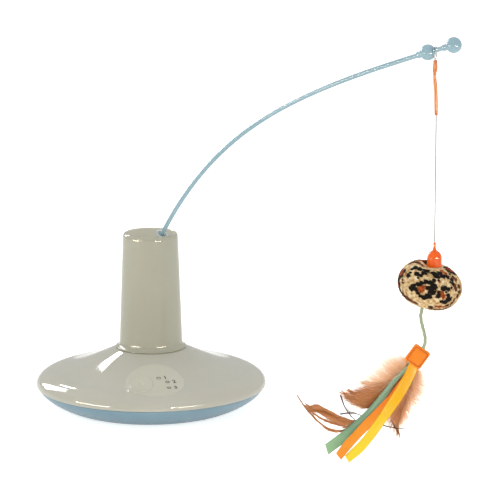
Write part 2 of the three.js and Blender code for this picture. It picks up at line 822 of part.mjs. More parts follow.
// Tower: tapered wall with a flared foot, a rounded open mouth and the cup floor that carries the gear case
const cupFloorUnder = cupFloorHeight - cupFloorWall;
const ringFoot = collarHeight + seat;
const hubHole = tableHubRadius + 2 * seat;
const towerSides = 32;
function towerRadiusAt(height) {
  const share = (height - ringFoot) / (towerHeight - lipRound - ringFoot);
  return towerFootRadius + (towerTopRadius - towerFootRadius) * share;
}
const lidTop = cupFloorUnder - caseDrop;
const gearLayers = 3 * gearFloat + 2 * wheelFace + thinFace + 2 * layerGap;
const frameHeight = lidTop - lidThickness - gearLayers - frameThickness;
{
  const flareWall = towerRadiusAt(ringFoot + footFlareHeight);
  const flareArc = Array.from({ length: 5 }, (_, k) => {
    const angle = k / 4 * quarterTurn;
    return [
      flareWall + (ringRadius - flareWall) * (1 - Math.sin(angle)),
      ringFoot + footEdge + (footFlareHeight - footEdge) * (1 - Math.cos(angle)),
    ];
  });
  const lipArc = Array.from({ length: 4 }, (_, k) => {
    const angle = k / 3 * quarterTurn;
    const lipRun = towerTopRadius - cupRadius - screwRadius / 2;
    return [
      towerTopRadius - lipRun + lipRun * Math.cos(angle),
      towerHeight - lipRound + lipRound * Math.sin(angle),
    ];
  });
  const wallUnder = towerRadiusAt(cupFloorUnder) - towerWall;
  let tower = turned([
    [spigotRadius - towerWall, collarHeight - spigotDepth], [spigotRadius, collarHeight - spigotDepth],
    [spigotRadius, ringFoot], [ringRadius - footEdge, ringFoot], ...flareArc,
    ...lipArc, [cupRadius, towerHeight - screwRadius / 2], [cupRadius, cupFloorHeight],
    [hubHole, cupFloorHeight], [hubHole, cupFloorUnder],
    [wallUnder, cupFloorUnder], [spigotRadius - towerWall, ringFoot + footFlareHeight],
  ], towerSides);
  for (let k = 0; k < lugCount; k += 1) {
    const lug = block(lugReach + towerWall, lugWidth, 0, lugHeight)
      .translate(spigotRadius + (lugReach - towerWall) / 2, 0, collarHeight - dishWall - seat - lugHeight)
      .rotateZ(fullTurn * k / lugCount);
    tower = joined(tower, lug);
  }
  for (const angle of pillarAngles) {
    const at = polar(pillarRingRadius, angle);
    const boss = rod(pillarRadius, lidTop + seat, cupFloorUnder + seat, 8).translate(at.x, at.y, 0);
    const pilot = rod(longScrewRadius + seat / 2, 0, lidTop + longScrewGrip + seat, 8)
      .translate(at.x, at.y, 0);
    tower = cut(joined(tower, boss), pilot);
  }
  piece(toy, 'tower_shell', tower, sagePlastic);
}

// Gear train layout: the output wheel is on the axis, and each arbor stands a centre distance from the next
const pitchRadiusOf = (teeth) => gearModule * teeth / 2;
const secondDistance = pitchRadiusOf(secondPinionTeeth) + pitchRadiusOf(outputTeeth);
const firstDistance = pitchRadiusOf(firstPinionTeeth) + pitchRadiusOf(secondWheelTeeth);
const motorDistance = pitchRadiusOf(motorTeeth) + pitchRadiusOf(firstWheelTeeth);
const secondArbor = new THREE.Vector2(secondDistance, 0);
const firstArbor = (() => {
  const along = (secondDistance ** 2 - firstDistance ** 2 + arborRingRadius ** 2) / (2 * secondDistance);
  return new THREE.Vector2(along, Math.sqrt(arborRingRadius ** 2 - along ** 2));
})();
const motorAxis = firstArbor.clone().add(polar(motorDistance, pinionPlaceAngle));

// Involute tooth outline; a tooth stands centred on the phase angle
function gearShape(teeth, phase, flankPoints) {
  const pitch = pitchRadiusOf(teeth);
  const baseCircle = pitch * Math.cos(pressureAngle);
  const tip = pitch + addendumShare * gearModule;
  const root = pitch - dedendumShare * gearModule;
  const involute = (angle) => Math.tan(angle) - angle;
  const pitchHalf = (Math.PI * gearModule / 2 - backlash) / 2 / pitch;
  const halfAngle = (radius) => {
    const at = Math.acos(Math.min(1, baseCircle / Math.max(radius, baseCircle)));
    return pitchHalf + involute(pressureAngle) - involute(at);
  };
  const rise = Array.from({ length: flankPoints }, (_, k) => root + (tip - root) * k / (flankPoints - 1));
  const outline = [];
  for (let tooth = 0; tooth < teeth; tooth += 1) {
    const centre = phase + fullTurn * tooth / teeth;
    const corner = (radius, angle) => new THREE.Vector2(radius * Math.cos(angle), radius * Math.sin(angle));
    rise.forEach((radius) => outline.push(corner(radius, centre - halfAngle(radius))));
    [...rise].reverse().forEach((radius) => outline.push(corner(radius, centre + halfAngle(radius))));
  }
  return new THREE.Shape(outline);
}

function toothed(teeth, phase, flankPoints, bottom, face) {
  const shape = gearShape(teeth, phase, flankPoints);
  return new THREE.ExtrudeGeometry(shape, { depth: face, bevelEnabled: false }).translate(0, 0, bottom);
}

// The phase that puts a gap of the next wheel on a tooth of the last one
function meshedPhase(lastTeeth, lastPhase, nextTeeth, bearing) {
  return bearing + Math.PI + Math.PI / nextTeeth - lastTeeth / nextTeeth * (lastPhase - bearing);
}
const bearingTo = (from, to) => Math.atan2(to.y - from.y, to.x - from.x);
const axis = new THREE.Vector2(0, 0);
const firstPhase = meshedPhase(motorTeeth, 0, firstWheelTeeth, bearingTo(motorAxis, firstArbor));
const secondPhase = meshedPhase(firstPinionTeeth, 0, secondWheelTeeth, bearingTo(firstArbor, secondArbor));
const outputPhase = meshedPhase(secondPinionTeeth, 0, outputTeeth, bearingTo(secondArbor, axis));

const frameTop = frameHeight + frameThickness;
const lidUnder = lidTop - lidThickness;
const firstLayer = frameTop + gearFloat;
const secondLayer = firstLayer + wheelFace + layerGap;
const outputLayer = secondLayer + thinFace + layerGap;
const arborBore = arborRadius + arborClearance;

// A shallow ring cut into a wheel's upper face, as moulded wheels have
function webRing(teeth, inner, top) {
  const outer = pitchRadiusOf(teeth) - 2.5 * gearModule;
  return turned([
    [inner, top - webRecess], [outer, top - webRecess], [outer, top + overrun], [inner, top + overrun],
  ], 14);
}
{
  const pinionTop = firstLayer + wheelFace + layerGap / 2;
  const pinion = cut(
    toothed(motorTeeth, 0, 3, firstLayer, pinionTop - firstLayer),
    rod(motorShaftRadius + seat, frameHeight, pinionTop + overrun, 8),
  );
  piece(toy, 'motor_pinion', pinion, brass).position.set(motorAxis.x, motorAxis.y, 0);
  const shaft = rod(motorShaftRadius, frameHeight - motorLength / 2, pinionTop, 8);
  piece(toy, 'motor_shaft', shaft, steel).position.set(motorAxis.x, motorAxis.y, 0);

  const firstPinionFace = wheelFace / 2 + thinFace + layerGap;
  const firstGear = cut(
    joined(
      toothed(firstWheelTeeth, firstPhase, 2, firstLayer, wheelFace),
      toothed(firstPinionTeeth, 0, 3, firstLayer + wheelFace / 2, firstPinionFace),
      rod(hubRadius, firstLayer, lidUnder - gearFloat, 10),
    ),
    webRing(firstWheelTeeth, pitchRadiusOf(firstPinionTeeth) + 2 * gearModule, firstLayer + wheelFace),
    rod(arborBore, frameHeight, lidTop, 10),
  );
  piece(toy, 'first_gear', firstGear, gearPlastic).position.set(firstArbor.x, firstArbor.y, 0);

  const secondPinionFoot = secondLayer + thinFace / 2;
  const secondGear = cut(
    joined(
      toothed(secondWheelTeeth, secondPhase, 2, secondLayer, thinFace),
      toothed(secondPinionTeeth, 0, 3, secondPinionFoot, lidUnder - gearFloat - secondPinionFoot),
      rod(hubRadius, firstLayer, lidUnder - gearFloat, 10),
    ),
    webRing(secondWheelTeeth, pitchRadiusOf(secondPinionTeeth) + 2 * gearModule, secondLayer + thinFace),
    rod(arborBore, frameHeight, lidTop, 10),
  );
  piece(toy, 'second_gear', secondGear, gearPlastic).position.set(secondArbor.x, secondArbor.y, 0);

  const hub = shaftRadius + bossWall;
  const outputGear = cut(
    joined(
      toothed(outputTeeth, outputPhase, 2, outputLayer, wheelFace),
      rod(hub, outputLayer - layerGap / 2, lidUnder - gearFloat / 2 - seat / 2, 20),
    ),
    webRing(outputTeeth, hub + gearModule, outputLayer + wheelFace),
    rod(shaftRadius + seat, frameHeight, lidTop, 16),
  );
  piece(toy, 'output_gear', outputGear, gearPlastic);
  [firstArbor, secondArbor].forEach((at, k) => {
    const pin = rod(arborRadius, frameHeight + seat, lidTop - seat, 8);
    piece(toy, `gear_arbor_${k + 1}`, pin, steel).position.set(at.x, at.y, 0);
  });
}

// Gear frame, a plate with three pillars, and the lid with the output shaft's bush
const pillarPlaces = pillarAngles.map((angle) => polar(pillarRingRadius, angle));
{
  const arborHole = (at) => (
    rod(arborRadius + seat / 2, frameHeight + seat / 2, lidTop - seat / 2, 8).translate(at.x, at.y, 0)
  );
  const screwHole = (at) => (
    rod(longScrewRadius + seat / 2, frameHeight - overrun, lidTop + overrun, 8).translate(at.x, at.y, 0)
  );
  const pillars = pillarPlaces.map((at) => (
    rod(pillarRadius, frameTop - seat, lidUnder - seat, 8).translate(at.x, at.y, 0)
  ));
  const frame = cut(
    joined(rod(caseRadius, frameHeight, frameTop, 24), ...pillars),
    ...pillarPlaces.map(screwHole),
    arborHole(firstArbor), arborHole(secondArbor),
    rod(motorBossRadius + seat, frameHeight - overrun, frameTop + overrun, 12)
      .translate(motorAxis.x, motorAxis.y, 0),
    rod(shaftRadius + seat, frameTop - shaftSink, lidTop, 16),
  );
  piece(toy, 'gear_frame', frame, whitePlastic);
  const lid = cut(
    joined(rod(caseRadius, lidUnder, lidTop, 24), rod(bushRadius, lidTop - seat, lidTop + bushStand, 16)),
    ...pillarPlaces.map(screwHole),
    arborHole(firstArbor), arborHole(secondArbor),
    rod(shaftRadius + seat, frameTop, lidTop + bushStand + overrun, 16),
  );
  piece(toy, 'gear_lid', lid, whitePlastic);
  pillarPlaces.forEach((at, k) => {
    const length = lidTop + longScrewGrip - frameHeight;
    const shape = screw(longScrewRadius, longScrewHeadRadius, screwHeadHeight, length);
    piece(toy, `gear_screw_${k + 1}`, shape, steel).position.set(at.x, at.y, frameHeight - seat);
  });
}

// Motor: a round can with two flats, its end cap with terminals, and the boss that centres it in the frame
{
  const canTop = frameHeight - seat;
  const can = common(
    rod(motorRadius, canTop - motorLength, canTop, 20),
    block(motorFlat, 4 * motorRadius, canTop - motorLength - overrun, canTop + overrun),
  );
  const capFoot = canTop - motorLength - motorCapLength;
  const cap = common(
    rod(motorRadius - seat, capFoot, canTop - motorLength + seat, 20),
    block(motorFlat - 2 * seat, 4 * motorRadius, 0, canTop),
  );
  const terminals = [-1, 1].map((side) => (
    block(motorShaftRadius, 2 * motorShaftRadius, capFoot - 3 * motorShaftRadius, capFoot + seat)
      .translate(side * motorFlat / 3, 0, 0)
  ));
  const boss = rod(motorBossRadius, canTop - seat, canTop + motorBossHeight, 12);
  const bore = rod(motorShaftRadius + seat, canTop - motorLength / 2 - overrun, canTop + 2 * overrun, 8);
  piece(toy, 'motor', cut(joined(can, cap, boss, ...terminals), bore), steel)
    .position.set(motorAxis.x, motorAxis.y, 0);
}

// Output shaft and turntable with the leaning wand socket
const tableUnder = cupFloorHeight + tableRise;
const shaftTop = tableUnder + tableThickness + tableCrown - bossWall;
const lean = wandLeanAngle * degrees;
const socketGroup = new THREE.Group();
socketGroup.position.set(0, 0, socketCross);
socketGroup.rotation.set(0, quarterTurn - lean, wandTurnAngle * degrees, 'ZYX');
socketGroup.updateMatrixWorld();
toy.add(socketGroup);
{
  piece(toy, 'output_shaft', rod(shaftRadius, frameTop - shaftSink + seat, shaftTop - seat, 16), steel);
  const edge = cupRadius - tableGap;
  const tableTop = tableUnder + tableThickness;
  const disc = turned([
    [0, shaftTop], [shaftRadius, shaftTop],
    [shaftRadius, cupFloorUnder - seat], [tableHubRadius, cupFloorUnder - seat],
    [tableHubRadius, tableUnder], [edge, tableUnder],
    [edge, tableTop - tableThickness / 3], [edge - tableThickness / 3, tableTop],
    [edge * 0.6, tableTop + tableCrown * 0.3], [tableHubRadius * 1.6, tableTop + tableCrown],
    [0, tableTop + tableCrown],
  ], 24);
  const boss = rod(socketRadius, -socketFoot, socketMouth, 16).applyMatrix4(socketGroup.matrixWorld);
  const bore = joined(
    rod(wandRadius + seat, socketStop - seat, socketMouth + overrun, 14),
    rod(collarBaseRadius + seat, socketMouth - collarSink - seat, socketMouth + overrun, 18),
  ).applyMatrix4(socketGroup.matrixWorld);
  const underside = turned([
    [0, tableUnder], [edge, tableUnder], [edge, towerHeight], [0, towerHeight],
  ], 24);
  const solid = cut(joined(disc, common(boss, underside)), bore);
  piece(toy, 'turntable', cut(solid, rod(shaftRadius + seat, frameTop, shaftTop, 16)), sagePlastic);

  const foot = socketMouth - collarSink;
  const flareStart = collarMouth - 2 * collarMouthRadius;
  const flangeRadius = collarBaseRadius + collarWall;
  piece(socketGroup, 'socket_collar', turned([
    [wandRadius + seat, foot], [collarBaseRadius, foot], [collarBaseRadius, socketMouth + seat],
    [flangeRadius, socketMouth + seat], [flangeRadius, socketMouth + 2 * collarWall],
    [collarBaseRadius, socketMouth + 3 * collarWall], [collarBaseRadius, flareStart],
    [(collarBaseRadius + collarMouthRadius) / 2, (flareStart + collarMouth) / 2],
    [collarMouthRadius, collarMouth], [collarMouthRadius - collarWall, collarMouth],
    [(collarBaseRadius + collarMouthRadius) / 2 - collarWall, (flareStart + collarMouth) / 2],
    [wandRadius + seat, flareStart],
  ], 14), clearPlastic);
}

// Wand: straight in its socket, then one long bend to the neck between the stop bead and the end ball
const wandGroup = new THREE.Group();
wandGroup.rotation.z = wandTurnAngle * degrees;
wandGroup.updateMatrixWorld();
toy.add(wandGroup);
const inWandPlane = (reach, height) => new THREE.Vector3(reach, 0, height);
const slopeTo = (slope) => inWandPlane(Math.cos(slope * degrees), Math.sin(slope * degrees));
const onSocketLine = (distance) => (
  slopeTo(wandLeanAngle).multiplyScalar(distance).add(inWandPlane(0, socketCross))
);
const beadCentre = inWandPlane(wandReach, towerHeight + wandTipRise);
const neckWay = slopeTo(neckAngle);
const ballCentre = beadCentre.clone().addScaledVector(neckWay, neckLength);
{
  const bendStart = onSocketLine(wandStraight);
  const bendLength = bendStart.distanceTo(beadCentre);
  const bend = new THREE.CubicBezierCurve3(
    bendStart,
    bendStart.clone().addScaledVector(slopeTo(wandLeanAngle), wandHandleShares[0] * bendLength),
    beadCentre.clone().addScaledVector(slopeTo(wandTipAngle), -wandHandleShares[1] * bendLength),
    beadCentre,
  );
  const spine = [onSocketLine(socketStop), ...bend.getPoints(20), ballCentre];
  const sideways = new THREE.Vector3(0, 1, 0);
  const rings = spine.map((point, i) => {
    const way = spine[Math.min(i + 1, spine.length - 1)].clone().sub(spine[Math.max(i - 1, 0)]).normalize();
    return ringOf(point, sideways, way.clone().cross(sideways), wandRadius, 8);
  });
  piece(wandGroup, 'wand_rod', lofted(rings), wandPlastic);

  const bore = wandRadius + seat;
  const beadSkin = [
    [bore, -beadRadius - beadCollarLength],
    [beadCollarRadius - collarWall / 4, -beadRadius - beadCollarLength],
    [beadCollarRadius, -beadRadius],
    ...Array.from({ length: 6 }, (_, k) => {
      const angle = (-64 + 130 * k / 5) * degrees;
      return [beadRadius * Math.cos(angle), beadRadius * Math.sin(angle)];
    }),
  ];
  const atBead = (mesh, centre) => {
    mesh.position.copy(centre);
    mesh.rotation.y = quarterTurn - neckAngle * degrees;
  };
  const stopBead = turned([...beadSkin, [bore, beadRadius]], 12);
  atBead(piece(wandGroup, 'inner_stop_bead', stopBead, wandPlastic), beadCentre);
  const endBall = turned([[0, seat], [bore, seat], ...beadSkin, [0, beadRadius]], 12);
  atBead(piece(wandGroup, 'end_ball', endBall, wandPlastic), ballCentre);
}

// Wire loop over the neck, crimped in the shrink sleeve
const loopCentre = beadCentre.clone().addScaledVector(neckWay, loopPlace);
const loopGroup = new THREE.Group();
loopGroup.position.copy(loopCentre);
wandGroup.add(loopGroup);
const sleeveGroup = new THREE.Group();
sleeveGroup.position.copy(loopCentre.clone().applyMatrix4(wandGroup.matrixWorld));
sleeveGroup.position.z -= loopDrop;
toy.add(sleeveGroup);
const loopRadius = wandRadius / Math.cos(neckAngle * degrees) + seat + wireRadius;
{
  const legGap = wireRadius + seat / 2;
  const halfLoop = Array.from({ length: 6 }, (_, k) => {
    const angle = (90 - 108 * k / 5) * degrees;
    return [loopRadius * Math.cos(angle), loopRadius * Math.sin(angle)];
  });
  const leg = [[legGap, -loopDrop], [legGap, -loopDrop - 4 * wireRadius]];
  const rightSide = [...halfLoop, ...leg];
  const leftSide = rightSide.slice(1).reverse().map(([y, z]) => [-y, z]);
  const route = [...leftSide, ...rightSide].map(([y, z]) => new THREE.Vector3(0, y, z));
  const bentWire = new THREE.CatmullRomCurve3(route, false, 'centripetal');
  piece(loopGroup, 'wire_loop', tube(bentWire, wireRadius, 6, 20), steel);

  const sleeveBore = legGap + wireRadius + seat;
  const boreDepth = 4 * wireRadius + seat;
  const outline = sleeveWaistShares.map((share, k) => {
    const least = share * sleeveLength > boreDepth + sleeveLength / 4 ? 0 : sleeveBore + seat;
    return [Math.max(sleeveRadius * sleeveWidthShares[k], least), -share * sleeveLength];
  });
  const sleeve = piece(sleeveGroup, 'sleeve', turned([
    [0, -boreDepth], [sleeveBore, -boreDepth], [sleeveBore, 0], ...outline, [0, -sleeveLength],
  ], 12), sleeveOrange);
  sleeve.rotation.y = -sleeveLeanAngle * degrees;
}

// Lure: hung below the sleeve, in a frame that keeps the row's own X and Y
const lureGroup = new THREE.Group();
lureGroup.position.set(0, 0, -sleeveLength)
  .applyAxisAngle(new THREE.Vector3(0, 1, 0), -sleeveLeanAngle * degrees);
sleeveGroup.add(lureGroup);
const capTop = -seat - lineLength - seat - ferruleLength;
{
  piece(lureGroup, 'lure_line', rod(lineRadius, -seat - lineLength, -seat, 8), coatedWire);
  const capFoot = capTop - capHeight;
  const capCurve = Array.from({ length: 5 }, (_, k) => {
    const angle = (80 - 80 * k / 4) * degrees;
    const shoulder = capHeight * 0.45;
    return [capRadius * 0.97 * Math.cos(angle), capTop - shoulder + shoulder * Math.sin(angle)];
  });
  piece(lureGroup, 'bell_cap', turned([
    [0, capTop + ferruleLength], [ferruleTopRadius, capTop + ferruleLength],
    [ferruleFootRadius, capTop], ...capCurve, [capRadius, capFoot], [capRadius - capWall, capFoot],
    [capRadius - capWall, capFoot + capHeight * 0.4], [0, capFoot + capHeight * 0.55],
  ], 14), orangePlastic);
}

// Plush ball: a pleated bun, drawn in at both poles and leaning to one side under the cap
const ballUp = new THREE.Vector3(Math.sin(ballTiltAngle * degrees), 0, Math.cos(ballTiltAngle * degrees));
const ballTop = capTop - capHeight + capSeatDepth;
const ballMiddle = new THREE.Vector3(ballSide, 0, ballTop - ballHalfHeight * 0.96);
const ballFoot = ballMiddle.clone().addScaledVector(ballUp, -ballHalfHeight * (1 - ballDimpleShare));
const cordExit = new THREE.Vector3(ballFoot.x, 0, ballFoot.z - seat);
{
  const around = 36;
  const down = 12;
  const rings = [];
  for (let row = 1; row < down; row += 1) {
    const polarAngle = Math.PI * row / down;
    const side = Math.sin(polarAngle);
    const dimple = 1 - ballDimpleShare * Math.exp(-((side / 0.35) ** 2));
    rings.push(Array.from({ length: around }, (_, k) => {
      const angle = fullTurn * k / around;
      const gather = Math.exp(-((side - 0.35) ** 2) / 0.12);
      const pleat = 1 + ballPleatDepthShare * gather * Math.cos(ballPleats * angle);
      return new THREE.Vector3(
        ballRadius * side ** 0.9 * pleat * Math.cos(angle),
        ballRadius * side ** 0.9 * pleat * Math.sin(angle),
        -ballHalfHeight * dimple * Math.cos(polarAngle),
      );
    }));
  }
  const bun = lofted(rings).rotateY(ballTiltAngle * degrees).translate(...ballMiddle.toArray());
  const capSeat = rod(capRadius + seat, capTop - capHeight - seat, capTop, 20);
  const cordSeat = new THREE.SphereGeometry(cordRadius + 2 * seat, 12, 8).translate(...cordExit.toArray());
  piece(lureGroup, 'plush_ball', cut(bun, capSeat, cordSeat), leopardPlush);
}

// Tail cord: its route from the ball to the tag, then the felt tag that it is sewn into
const cordRoute = [
  [0, 0, 0], [-0.9, 0, -4], [-1.8, 0.2, -9], [-1.4, 0.3, -14.5], [0, 0.2, -20], [1.5, 0, -26],
  [2.5, 0, -31.5], [2.2, 0, -36.5], [0.9, 0, -41],
].map(([x, y, z]) => new THREE.Vector3(x, y, z));
const cordEnd = cordRoute[cordRoute.length - 1].clone().add(cordExit);
{
  const cord = piece(lureGroup, 'tail_cord', tube(new THREE.CatmullRomCurve3(cordRoute), cordRadius, 8, 14),
    greenCord);
  cord.position.copy(cordExit);
}
const tagGroup = new THREE.Group();
tagGroup.position.copy(cordEnd);
tagGroup.rotation.y = -tagTiltAngle * degrees;
lureGroup.add(tagGroup);
{
  const half = tagSide / 2;
  const outline = new THREE.Shape();
  outline.moveTo(-half + tagCorner, 0);
  outline.lineTo(half - tagCorner, 0);
  outline.quadraticCurveTo(half, 0, half, -tagCorner);
  outline.lineTo(half, tagCorner - tagSide);
  outline.quadraticCurveTo(half, -tagSide, half - tagCorner, -tagSide);
  outline.lineTo(tagCorner - half, -tagSide);
  outline.quadraticCurveTo(-half, -tagSide, -half, tagCorner - tagSide);
  outline.lineTo(-half, -tagCorner);
  outline.quadraticCurveTo(-half, 0, tagCorner - half, 0);
  const pad = new THREE.ExtrudeGeometry(outline, {
    depth: tagThickness - 2 * seat, bevelThickness: seat, bevelSize: seat, bevelOffset: -seat,
    bevelSegments: 1, curveSegments: 2,
  }).translate(0, 0, -tagThickness / 2 + seat).rotateX(quarterTurn);
  const mouthShare = 1.06;
  const notch = new THREE.SphereGeometry(cordRadius + 3 * seat, 12, 8).scale(mouthShare, mouthShare, 1);
  piece(tagGroup, 'felt_tag', cut(pad, notch), orangeFelt);
}

// A strip along a bent line that turns edge-on by a twist angle; its far end is cut at a slant
function strip(route, widths, thicknesses, twist, slant, steps) {
  const line = new THREE.CatmullRomCurve3(route);
  const depthways = new THREE.Vector3(0, 1, 0);
  const rings = Array.from({ length: steps + 1 }, (_, i) => {
    const share = i / steps;
    const point = line.getPointAt(share);
    const way = line.getTangentAt(share);
    const turn = twist * Math.sin(Math.min(share * 1.6, 1) * quarterTurn) * degrees;
    const across = depthways.clone().cross(way).normalize().applyAxisAngle(way, turn);
    const through = way.clone().cross(across).normalize();
    const half = widths(share) / 2;
    const skew = slant * Math.max(0, share - 1 + 2 / steps) * steps / 2;
    return [[-1, -1], [1, -1], [1, 1], [-1, 1]].map(([a, b]) => (
      point.clone()
        .addScaledVector(across, a * half)
        .addScaledVector(through, b * thicknesses(share) / 2)
        .addScaledVector(way, a * skew)
    ));
  });
  return lofted(rings);
}

// Ribbons and feathers hang from the tag's foot. A sewn place is in shares of the tag's side, and the points
// after it are told from the middle of the foot in shares of the strip's own length.
const tagFoot = new THREE.Vector3(0, 0, -tagSide - stripGap);
function stripRoute([along, deep], length, shares) {
  const sewn = new THREE.Vector3(along * tagSide, deep * tagSide, 0).add(tagFoot);
  const middle = tagFoot.clone().applyEuler(tagGroup.rotation);
  const free = shares.map(([x, y, z]) => new THREE.Vector3(x, y, z).multiplyScalar(length).add(middle));
  return [sewn.applyEuler(tagGroup.rotation), ...free];
}

function satinRibbon(name, sewnShares, length, routeShares, satin, twist, slant) {
  const route = stripRoute(sewnShares, length, routeShares);
  const shape = strip(route, () => ribbonWidth, () => ribbonThickness, twist, slant, 14);
  piece(lureGroup, name, shape, satin).position.copy(cordEnd);
}
satinRibbon('green_ribbon', [-0.176, 0.067], greenRibbonLength, [
  [-0.059, 0.014, -0.039], [-0.123, 0.029, -0.122], [-0.253, 0.048, -0.295], [-0.458, 0.057, -0.499],
  [-0.698, 0.061, -0.713],
], greenSatin, 34, ribbonSlant);
satinRibbon('orange_ribbon', [0.002, 0.012], orangeRibbonLength, [
  [-0.038, 0.002, -0.054], [-0.091, 0.002, -0.136], [-0.187, 0, -0.265], [-0.325, -0.005, -0.441],
  [-0.505, -0.011, -0.648], [-0.618, -0.014, -0.785],
], orangeSatin, 40, -ribbonSlant);
satinRibbon('yellow_ribbon', [0.155, -0.055], yellowRibbonLength, [
  [-0.016, -0.017, -0.065], [-0.057, -0.035, -0.144], [-0.125, -0.055, -0.267], [-0.24, -0.066, -0.475],
  [-0.396, -0.072, -0.678], [-0.552, -0.073, -0.818],
], yellowSatin, 34, -ribbonSlant);

// A feather's vane: nothing on the bare quill up to its start share, then a plump curve to a blunt tip
function vane(startShare, power) {
  const tipShare = 1.04;
  return (share) => (
    Math.sin(Math.PI * Math.max(share - startShare, 0) / (tipShare - startShare)) ** power
  );
}
function feather(name, sewnShares, length, routeShares, look, widths, thicknesses) {
  const shape = strip(stripRoute(sewnShares, length, routeShares), widths, thicknesses, 0, 0, 14);
  piece(lureGroup, name, shape, look).position.copy(cordEnd);
}
const longVane = vane(0.3, 0.8);
feather('long_feather', [-0.237, 0.115], longFeatherLength, [
  [-0.041, 0.026, -0.024], [-0.094, 0.06, -0.133], [-0.18, 0.075, -0.279], [-0.273, 0.082, -0.378],
  [-0.379, 0.083, -0.409], [-0.511, 0.083, -0.401], [-0.637, 0.083, -0.305], [-0.71, 0.083, -0.209],
], brownFeather, (share) => quillWidth + longVaneWidth * longVane(share), () => featherThickness);
const shortVane = vane(0.15, 0.8);
feather('short_feather', [-0.058, 0.115], shortFeatherLength, [
  [-0.041, 0.078, -0.049], [-0.12, 0.183, -0.145], [-0.276, 0.235, -0.269], [-0.498, 0.24, -0.347],
  [-0.811, 0.24, -0.367],
], brownFeather, (share) => quillWidth + shortVaneWidth * shortVane(share), () => featherThickness);
const downVane = vane(0.24, 0.7);
const downLoft = vane(0.35, 1);
feather('down_tuft', [0.189, 0.115], downTuftLength, [
  [0.018, 0.134, -0.082], [-0.023, 0.323, -0.244], [-0.083, 0.39, -0.512], [-0.137, 0.403, -0.701],
  [-0.191, 0.403, -0.835],
], tanDown, (share) => quillWidth + downWidth * downVane(share),
(share) => featherThickness + downFluff * downLoft(share));

export default toy;
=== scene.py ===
"""A rotating feather cat toy in Blender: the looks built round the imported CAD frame. Metres, +Z up."""
import json
import math
import random

import bmesh
import bpy
import numpy as np
from mathutils import Matrix, Vector


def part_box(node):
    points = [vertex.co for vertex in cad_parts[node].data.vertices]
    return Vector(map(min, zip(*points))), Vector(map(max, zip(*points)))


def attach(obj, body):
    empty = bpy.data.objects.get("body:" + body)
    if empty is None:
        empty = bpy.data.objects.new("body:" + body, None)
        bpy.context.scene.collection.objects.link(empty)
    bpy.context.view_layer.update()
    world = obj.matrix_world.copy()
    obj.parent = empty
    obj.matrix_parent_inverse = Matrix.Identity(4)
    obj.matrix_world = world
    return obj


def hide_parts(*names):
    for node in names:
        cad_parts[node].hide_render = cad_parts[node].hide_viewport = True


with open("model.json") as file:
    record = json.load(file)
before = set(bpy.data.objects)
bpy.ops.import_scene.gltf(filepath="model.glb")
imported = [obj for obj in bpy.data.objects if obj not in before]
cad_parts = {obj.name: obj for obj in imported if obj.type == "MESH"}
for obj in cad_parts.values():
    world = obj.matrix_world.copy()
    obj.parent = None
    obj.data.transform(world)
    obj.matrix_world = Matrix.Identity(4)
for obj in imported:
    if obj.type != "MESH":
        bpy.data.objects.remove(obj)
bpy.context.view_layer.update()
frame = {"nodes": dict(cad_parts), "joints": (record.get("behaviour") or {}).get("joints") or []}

scene = bpy.context.scene
scene.view_settings.view_transform = "Standard"
random.seed(7)

# Camera
# A long lens from the front, a little above the toy, as the photograph was taken.
# It looks 11.4 degrees down at the toy's middle.
camera = bpy.data.objects.new("camera", bpy.data.cameras.new("camera"))
camera.location = (0.0995, -2.9408, 0.7519)
camera.rotation_euler = (math.radians(78.6), 0, 0)
camera.data.sensor_width = 36
camera.data.lens = 216
scene.collection.objects.link(camera)
scene.camera = camera

# Lure line
# A thin coated wire that hangs straight from the sleeve to the cap's ferrule: 118.6 mm long, 0.9 mm thick.
# Its upper end is crimped in the sleeve under the wand's neck, its lower end turns in the ferrule.
tower_height = 0.177
wand_plane = Matrix.Rotation(math.radians(-38), 3, "Z")
neck_lean = math.radians(17.6)
neck_way = wand_plane @ Vector((math.cos(neck_lean), 0, math.sin(neck_lean)))
bead_reach, bead_rise = 0.3335, 0.2084
bead_centre = wand_plane @ Vector((bead_reach, 0, 0)) + Vector((0, 0, tower_height + bead_rise))
loop_offset = 0.0088
loop_drop = 0.0092
loop_centre = bead_centre + neck_way * loop_offset
sleeve_top = loop_centre - Vector((0, 0, loop_drop))
sleeve_length = 0.051
sleeve_lean = math.radians(1.6)
sleeve_way = Vector((math.sin(sleeve_lean), 0, -math.cos(sleeve_lean)))
lure_top = sleeve_top + sleeve_way * sleeve_length
seat = 0.0003
line_length = 0.1186
line_diameter = 0.0009
line_steps = 15


def linear(code):
    """A hex colour as linear light, with full opacity."""
    channels = [int(code[i : i + 2], 16) / 255 for i in (1, 3, 5)]
    return (*(c / 12.92 if c <= 0.04045 else ((c + 0.055) / 1.055) ** 2.4 for c in channels), 1)


